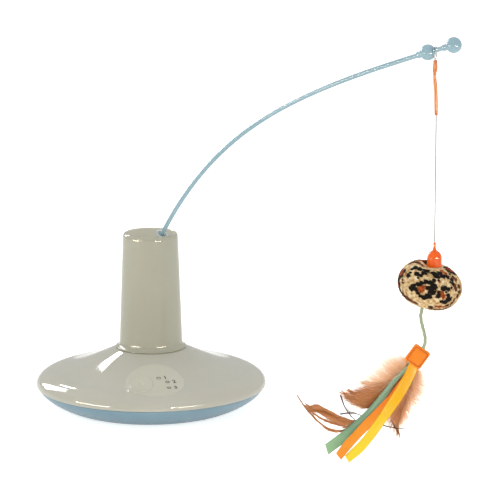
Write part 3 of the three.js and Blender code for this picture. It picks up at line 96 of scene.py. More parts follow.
class Finish:
    """A material under way: its nodes, its shader and short ways to add to them."""

    def __init__(self, name, colour, roughness, metallic=0):
        self.material = bpy.data.materials.new(name)
        self.material.use_nodes = True
        self.tree = self.material.node_tree
        self.shader = self.tree.nodes["Principled BSDF"]
        self.material.diffuse_color = linear(colour)
        self.set("Base Color", linear(colour))
        self.set("Roughness", roughness)
        self.set("Metallic", metallic)
        self.place = self.node("ShaderNodeTexCoord").outputs["Object"]

    def set(self, socket, value):
        self.shader.inputs[socket].default_value = value

    def node(self, kind, inputs=None, **settings):
        made = self.tree.nodes.new(kind)
        for name, value in settings.items():
            setattr(made, name, value)
        for name, value in (inputs or {}).items():
            if isinstance(value, bpy.types.NodeSocket):
                self.tree.links.new(value, made.inputs[name])
            else:
                made.inputs[name].default_value = value
        return made

    def link(self, output, socket):
        self.tree.links.new(output, self.shader.inputs[socket])

    def noise(self, scale, detail=3, place=None, roughness=0.5):
        inputs = {"Vector": place or self.place, "Scale": scale, "Detail": detail, "Roughness": roughness}
        return self.node("ShaderNodeTexNoise", inputs).outputs["Fac"]

    def mottle(self, scale, detail, stops):
        """Colour the piece by a noise and give the noise back."""
        cloud = self.noise(scale, detail)
        self.link(self.ramp(cloud, stops), "Base Color")
        return cloud

    def maths(self, operation, first, second=0.5):
        return self.node("ShaderNodeMath", {0: first, 1: second}, operation=operation).outputs[0]

    def ramp(self, value, stops):
        made = self.node("ShaderNodeValToRGB", {"Fac": value})
        made.color_ramp.elements[0].position = stops[0][0]
        made.color_ramp.elements[1].position = stops[-1][0]
        for position, _ in stops[1:-1]:
            made.color_ramp.elements.new(position)
        for element, (_, shade) in zip(made.color_ramp.elements, stops):
            element.color = linear(shade) if isinstance(shade, str) else (shade, shade, shade, 1)
        return made.outputs["Color"]

    def mix(self, share, first, second):
        made = self.node("ShaderNodeMix", {0: share, 6: first, 7: second}, data_type="RGBA")
        return made.outputs[2]

    def bump(self, height, strength, distance):
        inputs = {"Height": height, "Strength": strength, "Distance": distance}
        self.link(self.node("ShaderNodeBump", inputs).outputs["Normal"], "Normal")


def settle(made, body, material, slot, *nodes):
    """Give a finished piece its material and its body, and hide the CAD nodes that it stands for. The slot is not
    used.
    """
    made.data.materials.clear()
    made.data.materials.append(material)
    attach(made, body)
    if nodes:
        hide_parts(*nodes)
    return made


line_points = [lure_top - Vector((0, 0, seat + line_length * step / line_steps)) for step in range(line_steps + 1)]
line_curve = bpy.data.curves.new("lure_line_wire", "CURVE")
line_curve.dimensions = "3D"
line_curve.bevel_depth = line_diameter / 2
line_curve.bevel_resolution = 3
line_curve.use_fill_caps = True
spline = line_curve.splines.new("POLY")
spline.points.add(len(line_points) - 1)
for control, point in zip(spline.points, line_points):
    control.co = (*point, 1)
lure_line = bpy.data.objects.new("lure_line_wire", line_curve)
scene.collection.objects.link(lure_line)
# Coated wire: dull grey, with the fine slanting bands of its laid strands.
coated = Finish("coated_wire", "#b4b5b3", 0.35)
laid = coated.node("ShaderNodeTexWave", {"Vector": coated.place, "Scale": 260, "Distortion": 0.4}, bands_direction="Z")
coated.link(coated.ramp(laid.outputs["Fac"], [(0.2, "#4b4a48"), (0.6, "#676563"), (1, "#878583")]), "Base Color")
coated.bump(laid.outputs["Fac"], 0.4, 0.0001)
settle(lure_line, "line", coated.material, "coated_wire", "lure_line")

# Tail cord
# A soft three-ply twisted cord from the ball to the tag, hanging in one lazy curve, 41.9 mm long.
# It comes out of the ball's drawn-in foot and is sewn in the tag's upper corner.
full_turn = math.pi * 2
ferrule_length = 0.0076
cap_top = lure_top - Vector((0, 0, 2 * seat + line_length + ferrule_length))
cap_height = 0.0152
cap_bite = 0.0046
bun_lean = math.radians(17)
bun_up = Vector((math.sin(bun_lean), 0, math.cos(bun_lean)))
bun_half_height = 0.0229
bun_shift = -0.0042
crown_share = 0.96
bun_middle = cap_top + Vector((bun_shift, 0, cap_bite - cap_height - bun_half_height * crown_share))
bun_foot = bun_middle - bun_up * bun_half_height * 0.9
cord_start = bun_foot - Vector((0, 0, seat))
cord_diameter = 0.003
yarn_radius = cord_diameter * 0.56
crease = math.radians(32)
no_crease = math.radians(80)


def smoothed(made, crisp=crease):
    """Smooth sides, with a crisp edge where two faces meet at more than that angle."""
    made.data.shade_smooth()
    made.data.set_sharp_from_angle(angle=crisp)
    return made


def piece_from(name, points, faces, crisp=crease):
    """A piece from worked-out points and faces: a cord, a strip, a soft skin or a patch that follows the dish."""
    mesh = bpy.data.meshes.new(name)
    mesh.from_pydata([tuple(point) for point in points], [], faces)
    mesh.validate()
    made = bpy.data.objects.new(name, mesh)
    scene.collection.objects.link(made)
    return smoothed(made, crisp)


def catmull(points, steps):
    """Centripetal Catmull-Rom line through the points, with that many steps in each span."""
    points = [Vector(point) for point in points]
    padded = [points[0] * 2 - points[1], *points, points[-1] * 2 - points[-2]]
    line = []
    for p0, p1, p2, p3 in zip(padded, padded[1:], padded[2:], padded[3:]):
        gaps = [math.sqrt((b - a).length) for a, b in ((p0, p1), (p1, p2), (p2, p3))]
        out_way = ((p1 - p0) / gaps[0] - (p2 - p0) / (gaps[0] + gaps[1]) + (p2 - p1) / gaps[1]) * gaps[1]
        in_way = ((p2 - p1) / gaps[1] - (p3 - p1) / (gaps[1] + gaps[2]) + (p3 - p2) / gaps[2]) * gaps[1]
        for step in range(steps):
            t = step / steps
            line.append(
                p1 * (2 * t**3 - 3 * t**2 + 1) + out_way * (t**3 - 2 * t**2 + t)
                + p2 * (3 * t**2 - 2 * t**3) + in_way * (t**3 - t**2)
            )
    return [*line, points[-1]]


def even(line, count):
    """The line cut again into count equal lengths."""
    runs = np.cumsum([0, *((b - a).length for a, b in zip(line, line[1:]))])
    wanted = np.linspace(0, runs[-1], count + 1)
    columns = [np.interp(wanted, runs, [point[k] for point in line]) for k in range(3)]
    return [Vector(point) for point in zip(*columns)]


def skin(rings, closed_ends=True):
    """Points and faces of a skin over rings that hold the same number of points each."""
    count = len(rings[0])
    points = [point for ring in rings for point in ring]
    faces = [
        (r * count + k, r * count + (k + 1) % count, (r + 1) * count + (k + 1) % count, (r + 1) * count + k)
        for r in range(len(rings) - 1)
        for k in range(count)
    ]
    if closed_ends:
        last = (len(rings) - 1) * count
        faces += [tuple(range(count))[::-1], tuple(range(last, last + count))]
    return points, faces


def together(skins):
    """Many skins as one list of points and one of faces."""
    points, faces = [], []
    for some_points, some_faces in skins:
        first = len(points)
        points += some_points
        faces += [tuple(index + first for index in face) for face in some_faces]
    return points, faces


def tube(line, radius, sides, lobes=0, lobe_depth=0, turns=0):
    """Rings round a line; lobes and turns twist it like laid yarn. The radius is a number or one a point."""
    rings = []
    across = None
    for i, point in enumerate(line):
        way = (line[min(i + 1, len(line) - 1)] - line[max(i - 1, 0)]).normalized()
        across = way.orthogonal() if across is None else across - way * across.dot(way)
        across.normalize()
        up = way.cross(across)
        size = radius[i] if isinstance(radius, list) else radius
        turn = full_turn * turns * i / (len(line) - 1)
        ring = []
        for k in range(sides):
            angle = full_turn * k / sides
            reach = size * (1 - lobe_depth * (1 - math.cos(lobes * angle + turn)) / 2)
            ring.append(point + across * reach * math.cos(angle) + up * reach * math.sin(angle))
        rings.append(ring)
    return rings


cord_route = [
    (0, 0, 0), (-0.0009, 0, -0.004), (-0.0018, 0.0002, -0.009), (-0.0014, 0.0003, -0.0145), (0, 0.0002, -0.02),
    (0.0015, 0, -0.026), (0.0025, 0, -0.0315), (0.0022, 0, -0.0365), (0.0009, 0, -0.041),
]
cord_line = even(catmull([cord_start + Vector(point) for point in cord_route], 12), 130)
cord_end = cord_line[-1]
tail_cord = piece_from(
    "tail_cord_yarn", *skin(tube(cord_line, yarn_radius, 24, lobes=3, lobe_depth=0.16, turns=7)),
    crisp=no_crease,
)
# Yarn: pale sage green, darker between the plies, with a soft sheen at its edges.
yarn = Finish("cord_green", "#9cab8b", 0.8)
fuzz = yarn.mottle(2600, 4, [(0.3, "#8a9c76"), (0.5, "#a3b490"), (0.72, "#c2ceb2")])
yarn.set("Sheen Weight", 0.4)
yarn.bump(fuzz, 0.5, 0.0003)
settle(tail_cord, "cord", yarn.material, "cord_green", "tail_cord")


# Studio
# A pale floor that the feet stand on, an even white surround, and soft boxes placed by the toy's own reflections.
def soft_box(name, azimuth, elevation, distance, width, height, glow, colour="#ffffff", mirrored=True, lights=True):
    """An area lamp that faces the toy's middle from a direction in degrees, seen as mirror image, light or both."""
    middle = Vector((0.06, -0.06, 0.12))
    turn, rise = math.radians(azimuth), math.radians(elevation)
    way = Vector((math.cos(turn) * math.cos(rise), math.sin(turn) * math.cos(rise), math.sin(rise)))
    lamp = bpy.data.lights.new(name, "AREA")
    lamp.shape = "RECTANGLE"
    lamp.size = width
    lamp.size_y = height
    lamp.energy = glow * math.pi * width * height
    lamp.color = linear(colour)[:3]
    holder = bpy.data.objects.new(name, lamp)
    holder.location = middle + way * distance
    holder.rotation_euler = (-way).to_track_quat("-Z", "Y").to_euler()
    holder.visible_glossy = mirrored
    holder.visible_diffuse = lights
    scene.collection.objects.link(holder)


warm = "#fff1d6"
soft_box("sky_box", 90, 80, 2.2, 1.8, 1.2, 2, mirrored=False)
soft_box("window_box", 116.9, 31.9, 1.9, 0.092, 0.27, 26)
soft_box("door_box", 135, 23, 1.9, 0.55, 0.95, 11, lights=False)
soft_box("front_box", -100, 38, 2.6, 1.5, 1, 1.35, mirrored=False)
soft_box("left_edge_box", -149, 3, 1.6, 1.1, 0.14, 48, warm, lights=False)
soft_box("right_edge_box", -52, 3, 1.6, 1.1, 0.14, 48, warm, lights=False)
soft_box("low_left_box", -149, 3, 1.6, 1.1, 0.12, 8, warm, mirrored=False)
soft_box("low_right_box", -52, 3, 1.6, 1.1, 0.12, 8, warm, mirrored=False)
soft_box("right_strip", -6, 8, 1.9, 0.16, 0.9, 4, mirrored=False)
soft_box("left_strip", 163, 12, 1.9, 0.4, 0.9, 2.2, mirrored=False)

world = bpy.data.worlds.new("studio")
scene.world = world
world.use_nodes = True
sky = world.node_tree
seen = sky.nodes.new("ShaderNodeLightPath")
either = sky.nodes.new("ShaderNodeMath")
either.operation = "MAXIMUM"
sky.links.new(seen.outputs["Is Camera Ray"], either.inputs[0])
sky.links.new(seen.outputs["Is Transmission Ray"], either.inputs[1])
strength = sky.nodes.new("ShaderNodeMapRange")
surround_light, surround_seen = 0.55, 1
strength.inputs["To Min"].default_value = surround_light
strength.inputs["To Max"].default_value = surround_seen
sky.links.new(either.outputs[0], strength.inputs["Value"])
sky.links.new(strength.outputs["Result"], sky.nodes["Background"].inputs["Strength"])
sky.nodes["Background"].inputs["Color"].default_value = (1, 1, 1, 1)

floor_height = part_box("foot_1")[0].z
bpy.ops.object.select_all(action="DESELECT")
bpy.ops.mesh.primitive_plane_add(size=12)
floor = bpy.context.object
floor.name = "floor"
floor.data.transform(Matrix.Translation((0, 0, floor_height)))
# Paper: near white and matt; a little glow of its own keeps the floor pale and even.
paper = Finish("paper", "#f4f4f2", 0.9)
paper.set("Specular IOR Level", 0)
paper.mottle(3, 2, [(0.3, "#f2f2f0"), (0.7, "#f6f6f4")])
rays = paper.node("ShaderNodeLightPath")
floor_light, floor_seen = 0.25, 0.74
seen_by = {"Value": rays.outputs["Is Camera Ray"], "To Min": floor_light, "To Max": floor_seen}
glow = paper.node("ShaderNodeMapRange", seen_by)
paper.link(glow.outputs["Result"], "Emission Strength")
paper.set("Emission Color", (1, 1, 1, 1))
floor.data.materials.append(paper.material)

# Base top shell
# The dish: one thick turned wall of sage moulded plastic, glossy, with a sharp lower lip over the pan's seam.
# A round seat in its front holds the control panel, over a window for the board and the button.
base_radius = 0.1156
seam_height = 0.0208
collar = Vector((0.0355, 0.0602))
shoulder = Vector((0.097, 0.0372))
widest = Vector((base_radius, 0.0235))
flare_handle = 0.35 * (shoulder.x - collar.x)
rim_handle = 0.543 * (widest.x - shoulder.x)


def bezier(points, steps):
    """Cubic Bezier line through four control points of any kind that adds and scales."""
    a, b, c, d = (Vector(point) for point in points)
    shares = [step / steps for step in range(steps + 1)]
    return [
        a * (1 - t) ** 3 + b * 3 * t * (1 - t) ** 2 + c * 3 * t**2 * (1 - t) + d * t**3
        for t in shares
    ]


def beside(line, distance):
    """A profile line moved sideways, square to its own run."""
    moved = []
    for i, point in enumerate(line):
        run = (line[min(i + 1, len(line) - 1)] - line[max(i - 1, 0)]).normalized()
        moved.append(Vector((point.x - run.y * distance, point.y + run.x * distance)))
    return moved


collar_slope, shoulder_slope, rim_share = 0.465, 0.185, 0.524
flare_line = bezier((
    collar, collar + Vector((flare_handle, -collar_slope * flare_handle)),
    shoulder + Vector((-flare_handle, shoulder_slope * flare_handle)), shoulder,
), 40)
rim_line = bezier((
    shoulder, shoulder + Vector((rim_handle, -shoulder_slope * rim_handle)),
    widest + Vector((0, rim_share * (shoulder.y - widest.y))), widest,
), 24)
dish_line = [*flare_line, *rim_line[1:]]
seam_top = seam_height + seat
seam_radius = base_radius - 0.002
lip_corner = Vector((base_radius, seam_top))
lip_end = Vector((seam_radius, seam_top))
lip_line = bezier((widest, widest.lerp(lip_corner, 2 / 3), lip_end.lerp(lip_corner, 2 / 3), lip_end), 12)
dish_wall = 0.0024
opening_radius = 0.0295


def dish_height(radius):
    """How high the dish's outer face is, at a distance from its middle."""
    return float(np.interp(radius, [p.x for p in dish_line], [p.y for p in dish_line]))


def dish_normal(point):
    """Which way the dish faces at a point on it."""
    radius = math.hypot(point.x, point.y)
    run = 0.0006
    slope = (dish_height(radius - run) - dish_height(radius + run)) / (2 * run)
    return Vector((point.x / radius * slope, point.y / radius * slope, 1)).normalized()


panel_normal = -next(Vector(joint["axis"]) for joint in frame["joints"] if joint["name"] == "button_press")
panel_turn = math.radians(-85.5)
panel_circle = 0.077
panel_across = Vector((-math.sin(panel_turn), math.cos(panel_turn), 0))
panel_up = panel_normal.cross(panel_across)
panel_centre = Vector((
    panel_circle * math.cos(panel_turn), panel_circle * math.sin(panel_turn), dish_height(panel_circle),
))
panel_radius = 0.0295
panel_rise = 0.00015


def on_dish(u, v, rise):
    """The point over place (u, v) of the panel, that far above the dish."""
    point = panel_centre + panel_across * u + panel_up * v
    for _ in range(6):
        drop = point.z - dish_height(math.hypot(point.x, point.y))
        point = point - panel_normal * drop * 0.9
    return point + dish_normal(point) * rise


def dish_patch(width, length, place, rows):
    """Points and faces of an oval patch of the dish. Each row is (share of the oval, inset, rise)."""
    sides = 96
    rings = []
    for share, inset, rise in rows:
        half = (share * width / 2 - inset, share * length / 2 - inset)
        angles = [full_turn * k / sides for k in range(sides)]
        rings.append([
            on_dish(place[0] + half[0] * math.cos(a), place[1] + half[1] * math.sin(a), rise) for a in angles
        ])
    return skin(rings)


def started(name, add_primitive, **size):
    """A new primitive under its name, in edit mode and selected all over, with nothing else selected."""
    bpy.ops.object.select_all(action="DESELECT")
    add_primitive(**size)
    made = bpy.context.object
    made.name = made.data.name = name
    bpy.ops.object.mode_set(mode="EDIT")
    return made


def turned(name, profile, sides, frame_of=Matrix.Identity(4), swell=None, crisp=crease):
    """A piece drawn as a profile of (radius, height) and spun about Z. A profile off the axis closes on itself."""
    places = [Vector((radius, 0, height)) for radius, height in profile]
    if profile[0][0] > 0:
        places.append(places[0])
    made = started(name, bpy.ops.mesh.primitive_plane_add, size=0.001)
    bpy.ops.mesh.merge(type="CENTER")
    bpy.ops.transform.translate(value=places[0])
    for here, there in zip(places, places[1:]):
        bpy.ops.mesh.extrude_region_move(TRANSFORM_OT_translate={"value": there - here})
    bpy.ops.mesh.select_all(action="SELECT")
    bpy.ops.mesh.spin(steps=sides, angle=full_turn, center=(0, 0, 0), axis=(0, 0, 1))
    bpy.ops.mesh.select_all(action="SELECT")
    bpy.ops.mesh.remove_doubles(threshold=0.000001)
    bpy.ops.mesh.normals_make_consistent(inside=False)
    bpy.ops.object.mode_set(mode="OBJECT")
    for vertex in made.data.vertices if swell else ():
        share = swell(math.atan2(vertex.co.y, vertex.co.x), vertex.co.z)
        vertex.co.x, vertex.co.y = vertex.co.x * share, vertex.co.y * share
    made.data.transform(frame_of)
    return smoothed(made, crisp)


def copied(made, name, shift):
    """The same piece again with a mesh of its own, moved by a shift."""
    again = bpy.data.objects.new(name, made.data.copy())
    again.data.name = name
    again.data.transform(Matrix.Translation(shift))
    scene.collection.objects.link(again)
    return again


def outward(made):
    """Turn every face of a closed piece to point out."""
    work = bmesh.new()
    work.from_mesh(made.data)
    bmesh.ops.recalc_face_normals(work, faces=work.faces)
    work.to_mesh(made.data)
    work.free()
    return made


def applied(made, kind, **settings):
    """Give a piece a modifier and apply it."""
    change = made.modifiers.new("change", kind)
    for name, value in settings.items():
        setattr(change, name, value)
    with bpy.context.temp_override(object=made, active_object=made):
        bpy.ops.object.modifier_apply(modifier=change.name)
    return made


def carve(made, tool, operation="DIFFERENCE"):
    """Cut or join a piece with a tool piece, which is then removed."""
    applied(outward(made), "BOOLEAN", operation=operation, solver="EXACT", object=outward(tool))
    bpy.data.objects.remove(tool)
    return smoothed(made)


def level(made):
    """Weight a piece's normals by face area, so that cut plastic still shines evenly."""
    return applied(made, "WEIGHTED_NORMAL", keep_sharp=True, weight=80)


def moulded(name, colour, darker, lighter, roughness):
    """Moulded plastic: a faint cloudiness, a fine skin texture and hairline scuffs in the gloss."""
    finish = Finish(name, colour, roughness)
    cloud = finish.ramp(finish.noise(14, 4), [(0.35, darker), (0.5, colour), (0.66, lighter)])
    finish.link(cloud, "Base Color")
    stretched = finish.node("ShaderNodeMapping", {"Vector": finish.place, "Scale": (40, 900, 300)})
    scuffs = finish.noise(1, 5, stretched.outputs["Vector"])
    wear = finish.ramp(scuffs, [(0.4, roughness), (0.62, roughness * 1.1), (0.8, roughness * 1.3)])
    finish.link(wear, "Roughness")
    finish.bump(finish.noise(1600, 2), 0.01, 0.000004)
    return finish


# Sage plastic: a greyish green with a wet gloss that mirrors the window and the lamps sharply.
sage_plastic = moulded("sage_plastic", "#c2c1b4", "#bfbeb1", "#c5c4b7", 0.06).material
dish_outer = [Vector((opening_radius, collar.y)), *dish_line, *lip_line[1:]]
dish_inner = beside([*dish_line, *lip_line[1:6:2], lip_end], -dish_wall)
dish_inner[-1] = Vector((seam_radius - dish_wall, seam_top))
dish_inner.insert(0, Vector((opening_radius, collar.y - dish_wall)))
dish_profile = [tuple(p) for p in dish_outer] + [tuple(p) for p in reversed(dish_inner)]
dish = turned("dish", dish_profile, 180)
fit = 0.00007
seat_size, seat_depth = 2 * (panel_radius + fit), 0.0014
window_size, window_depth = 0.0566, 0.008
seat_rows = [(1, 0, 0.003), (1, 0, -seat_depth)]
carve(dish, piece_from("panel_seat", *dish_patch(seat_size, seat_size, (0, 0), seat_rows)))
window_rows = [(1, 0, 0.001), (1, 0, -window_depth)]
carve(dish, piece_from("panel_window", *dish_patch(window_size, window_size, (0, 0), window_rows)))
settle(level(dish), "base", sage_plastic, "sage_plastic", "base_top_shell")

# Control panel
# A round moulded inlay that follows the dish and drops into its seat, with a soft edge.
# It has an oval hole for the button and three small ones for the lights.
quarter_turn = math.pi / 2
button_place = (-0.0135, -0.004)
button_size = (0.0232, 0.033)
button_gap = 0.00013
light_places = [(0.0039, 0.0059), (0.0124, -0.0007), (0.0132, -0.0122)]
light_radius = 0.0015
edge_round = 0.00025


def rounded_rows(rise, foot, middle=(0.15, 0.3, 0.45, 0.6, 0.75, 0.88)):
    """Rows of a patch from its middle, over a rounded edge and down to its foot."""
    rows = [(share, 0, rise) for share in (0.02, *middle)]
    for step in range(5):
        angle = quarter_turn * step / 4
        inset = edge_round * (1 - math.sin(angle))
        rows.append((1, inset, rise - edge_round * (1 - math.cos(angle))))
    return [*rows, (1, 0, foot), (0.02, 0, foot)]


panel = piece_from(
    "panel_inlay", *dish_patch(2 * panel_radius, 2 * panel_radius, (0, 0), rounded_rows(panel_rise, -0.0011)),
)
hole_rows = [(1, 0, 0.004), (1, 0, -0.004)]
carve(panel, piece_from(
    "button_hole",
    *dish_patch(button_size[0] + 2 * button_gap, button_size[1] + 2 * button_gap, button_place, hole_rows),
))
for u, v in light_places:
    hole = 2 * (light_radius + fit)
    carve(panel, piece_from("light_hole", *dish_patch(hole, hole, (u, v), hole_rows)))
# Panel plastic: the same sage, a little paler and duller, so that the inlay stands off the dish.
panel_plastic = moulded("panel_plastic", "#cac9ba", "#c7c6b7", "#cdccbd", 0.08).material
settle(level(panel), "base", panel_plastic, "sage_plastic", "control_panel")

# Speed button
# A raised oval pad with a rounded edge and a small finger dimple in its middle.
# It is moulded in the panel's plastic, slides in the panel's hole and rests on the press switch.
button_rise = 0.0004
dimple_radius, dimple_depth = 0.0036, 0.00042
button_rows = [
    (share, 0, button_rise - dimple_depth * max(0, 1 - (share * button_size[0] / 2 / dimple_radius) ** 2) ** 1.5)
    for share in np.linspace(0.02, 0.45, 12)
]
button_rows += rounded_rows(button_rise, -0.0016, (0.6, 0.75, 0.88))[1:]
button = piece_from("button_pad", *dish_patch(*button_size, button_place, button_rows))
settle(button, "button", panel_plastic, "sage_plastic", "speed_button")


# Light pipes
# Three small smoky domes of clear plastic, each on a stem that stands on the board.
# A flange under the panel keeps each in its hole.
def arc(centre, radius, start, end, steps):
    """Points of an arc in a profile, from one angle to another in degrees."""
    return [
        (centre[0] + radius * math.cos(math.radians(a)), centre[1] + radius * math.sin(math.radians(a)))
        for a in np.linspace(start, end, steps + 1)
    ]


def along(way, place):
    """A frame with its Z along a direction and its origin at a place."""
    return Matrix.Translation(place) @ Vector((0, 0, 1)).rotation_difference(way).to_matrix().to_4x4()


# Clear lens: smoky grey and half see-through, with a small point of light on each dome.
lens = Finish("clear_lens", "#dcddd4", 0.12)
lens.mottle(900, 2, [(0.3, "#cfd0c6"), (0.7, "#e4e5dc")])
lens.set("Transmission Weight", 0.35)
lens.set("IOR", 1.49)
stem_foot, flange_under, flange_top, flange_radius, dome_drop = -0.0076, -0.0022, -0.0017, 0.0022, 0.0009
pipe_profile = [(0, stem_foot), (light_radius, stem_foot), (light_radius, flange_under)]
pipe_profile += [(flange_radius, flange_under), (flange_radius, flange_top), (light_radius, flange_top)]
pipe_profile += [*arc((0, -dome_drop), light_radius, 30, 90, 8)[:-1], (0, light_radius - dome_drop)]
pipe_feet = [on_dish(u, v, panel_rise) for u, v in light_places]
pipe = turned("light_dome_1", pipe_profile, 32, along(panel_normal, pipe_feet[0]))
for number, foot in enumerate(pipe_feet, 1):
    made = pipe if number == 1 else copied(pipe, f"light_dome_{number}", foot - pipe_feet[0])
    settle(made, "base", lens.material, "clear_plastic", f"light_pipe_{number}")

# Printed numbers
# Plain 1, 2 and 3 beside the lights, where the real toy has words, and a ring round each light.
# Each is a thin layer of ink over the inlay.

# Grey ink: dark and flat beside the gloss of the panel.
ink = Finish("grey_ink", "#4a493f", 0.5)
ink.mottle(4000, 2, [(0.35, "#3d3c34"), (0.7, "#57564b")])
number_height = 0.0078
text_turn = Matrix.Rotation(math.radians(12), 2)
text_offset = Vector((0.0052, -0.0018))
ink_rise = panel_rise + 0.00006
ring_rise = panel_rise + 0.00005
ring_width = 0.00065
ring_steps = 40
for number, (u, v) in enumerate(light_places, 1):
    letters = bpy.data.curves.new(f"number_{number}", "FONT")
    letters.body = str(number)
    letters.size = number_height
    letters.resolution_u = 4
    letters.offset = 0.00016
    text = bpy.data.objects.new(f"number_source_{number}", letters)
    scene.collection.objects.link(text)
    bpy.context.view_layer.update()
    flat = bpy.data.meshes.new_from_object(text)
    places = [Vector((u, v)) + text_offset + text_turn @ vertex.co.xy for vertex in flat.vertices]
    corners = [on_dish(*place, ink_rise) for place in places]
    printed = piece_from(f"number_{number}", corners, [tuple(face.vertices) for face in flat.polygons])
    bpy.data.objects.remove(text)
    settle(printed, "base", ink.material, "sage_plastic")
    turns = [full_turn * k / ring_steps for k in range(ring_steps)]
    rings = [
        [on_dish(u + radius * math.cos(a), v + radius * math.sin(a), ring_rise) for a in turns]
        for radius in (light_radius + fit, light_radius + ring_width)
    ]
    ring = piece_from(f"light_ring_{number}", *skin(rings, closed_ends=False))
    settle(ring, "base", ink.material, "sage_plastic")

# Base bottom shell
# The light blue pan: a round-bottomed moulded wall with the battery bay, the foot pockets and the screw wells.
# Its tongue fits inside the dish, and four screws from below hold the two shells together.

# Blue plastic: dusty blue with a broader, softer shine than the dish above it.
blue_plastic = moulded("blue_plastic", "#7f9dad", "#7c9aaa", "#83a1b1", 0.14).material
floor_top = 0.0016
pan_flat, pan_drop = 0.078, 0.0006
pan_wall = 0.0022
pan_start = Vector((pan_flat, -pan_drop))
pan_end = Vector((seam_radius, seam_height))
pan_handle = 0.3
pan_curve = bezier((
    pan_start, pan_start + Vector((pan_handle * (pan_end.x - pan_start.x), 0)),
    pan_end - Vector((0, pan_handle * (pan_end.y - pan_start.y))), pan_end,
), 28)
tongue_wall, tongue_rise = 0.0013, 0.002
tongue_outer = seam_radius - dish_wall - seat
tongue_inner = tongue_outer - tongue_wall
tongue_foot = seam_height - tongue_wall
tongue_top = seam_height + tongue_rise
recess = 0.015
pan_inner = [p for p in beside(pan_curve, pan_wall) if p.x < tongue_inner and p.y < tongue_foot]
pan_profile = [(0, 0), (recess, 0), (recess + 0.0002, -0.0004), (recess + 0.0006, -pan_drop)]
pan_profile += [*(tuple(p) for p in pan_curve), (tongue_outer, seam_height), (tongue_outer, tongue_top)]
pan_profile += [(tongue_inner, tongue_top), (tongue_inner, tongue_foot)]
pan_profile += [*(tuple(p) for p in reversed(pan_inner)), (0, floor_top)]
pan = turned("pan", pan_profile, 180)


def box_piece(name, low, high, round_off=0):
    """A box between two corners, its upright edges rounded if asked."""
    low, high = Vector(low), Vector(high)
    made = started(name, bpy.ops.mesh.primitive_cube_add, size=1)
    bpy.ops.transform.resize(value=high - low, center_override=(0, 0, 0))
    bpy.ops.transform.translate(value=(low + high) / 2)
    if round_off:
        bpy.ops.mesh.select_mode(type="EDGE")
        bpy.ops.mesh.select_all(action="DESELECT")
        work = bmesh.from_edit_mesh(made.data)
        for edge in work.edges:
            run = edge.verts[0].co - edge.verts[1].co
            edge.select = abs(run.z) > max(abs(run.x), abs(run.y))
        bmesh.update_edit_mesh(made.data)
        bpy.ops.mesh.bevel(offset=round_off, segments=5)
        bpy.ops.mesh.select_mode(type="VERT")
    bpy.ops.object.mode_set(mode="OBJECT")
    return smoothed(made)


def peg(name, place, rows, sides=40):
    """A turned piece that stands at a place, from rows of (radius, height)."""
    return turned(name, [(0, rows[0][1]), *rows, (0, rows[-1][1])], sides, Matrix.Translation(place))


below = -0.003
bay_middle = 0.038
bay_half = (0.0285, 0.0225)
door_half = (0.0303, 0.0243)
bay_roof = 0.0161
bay_wall = 0.0026
carve(pan, box_piece(
    "bay_block", (-bay_half[0] - bay_wall, bay_middle - bay_half[1] - bay_wall, floor_top - seat),
    (bay_half[0] + bay_wall, bay_middle + bay_half[1] + bay_wall, bay_roof + 0.0018), 0.002,
), "UNION")
carve(pan, box_piece(
    "bay", (-bay_half[0], bay_middle - bay_half[1], below), (bay_half[0], bay_middle + bay_half[1], bay_roof),
))
door_pocket = 0.0013
carve(pan, box_piece(
    "door_pocket", (-door_half[0] - seat, bay_middle - door_half[1] - seat, below),
    (door_half[0] + seat, bay_middle + door_half[1] + seat, door_pocket), 0.0015,
))
door_screw_y = bay_middle + door_half[1] + 0.0025
tab_radius = 0.0053
carve(pan, peg("tab_pocket", (0, door_screw_y, 0), [(tab_radius, below), (tab_radius, door_pocket)]))
foot_ring = 0.072
screw_ring = 0.068


def ring_places(radius, angles):
    """Places on a circle round the middle, at angles in degrees."""
    return [Vector((radius * math.cos(a), radius * math.sin(a), 0)) for a in np.radians(angles)]


foot_places = ring_places(foot_ring, (45, 135, 225, 315))
screw_places = ring_places(screw_ring, (14, 166, 212, 328))
foot_pocket = [(0.0063, below), (0.0063, 0.0005)]
screw_well = [(0.0031, below), (0.0031, 0.0108)]
for place in foot_places:
    carve(pan, peg("foot_pocket", place, foot_pocket))
for place in screw_places:
    carve(pan, peg("screw_well", place, screw_well))
settle(level(pan), "base", blue_plastic, "blue_plastic", "base_bottom_shell")

# Feet
# Four soft black discs of moulded rubber with a rounded edge and a shallow ring.
# Each sits in its pocket under the pan and keeps the toy from sliding.

# Rubber: near black and matt, with a fine grain.
rubber = Finish("rubber", "#2d2d2e", 0.8)
rubber.bump(rubber.mottle(1800, 4, [(0.3, "#232324"), (0.7, "#38383a")]), 0.3, 0.0002)
pad_rows = [(0.0022, -0.0021), (0.0026, -0.0018), (0.003, -0.0018), (0.0034, -0.0021)]
pad_rows += [*arc((0.0052, -0.0013), 0.0008, -90, 0, 6), (0.006, 0.0002)]
foot_pad = peg("foot_pad_1", foot_places[0], pad_rows, 48)
for number, place in enumerate(foot_places, 1):
    made = foot_pad if number == 1 else copied(foot_pad, f"foot_pad_{number}", place - foot_places[0])
    settle(made, "base", rubber.material, "rubber", f"foot_{number}")


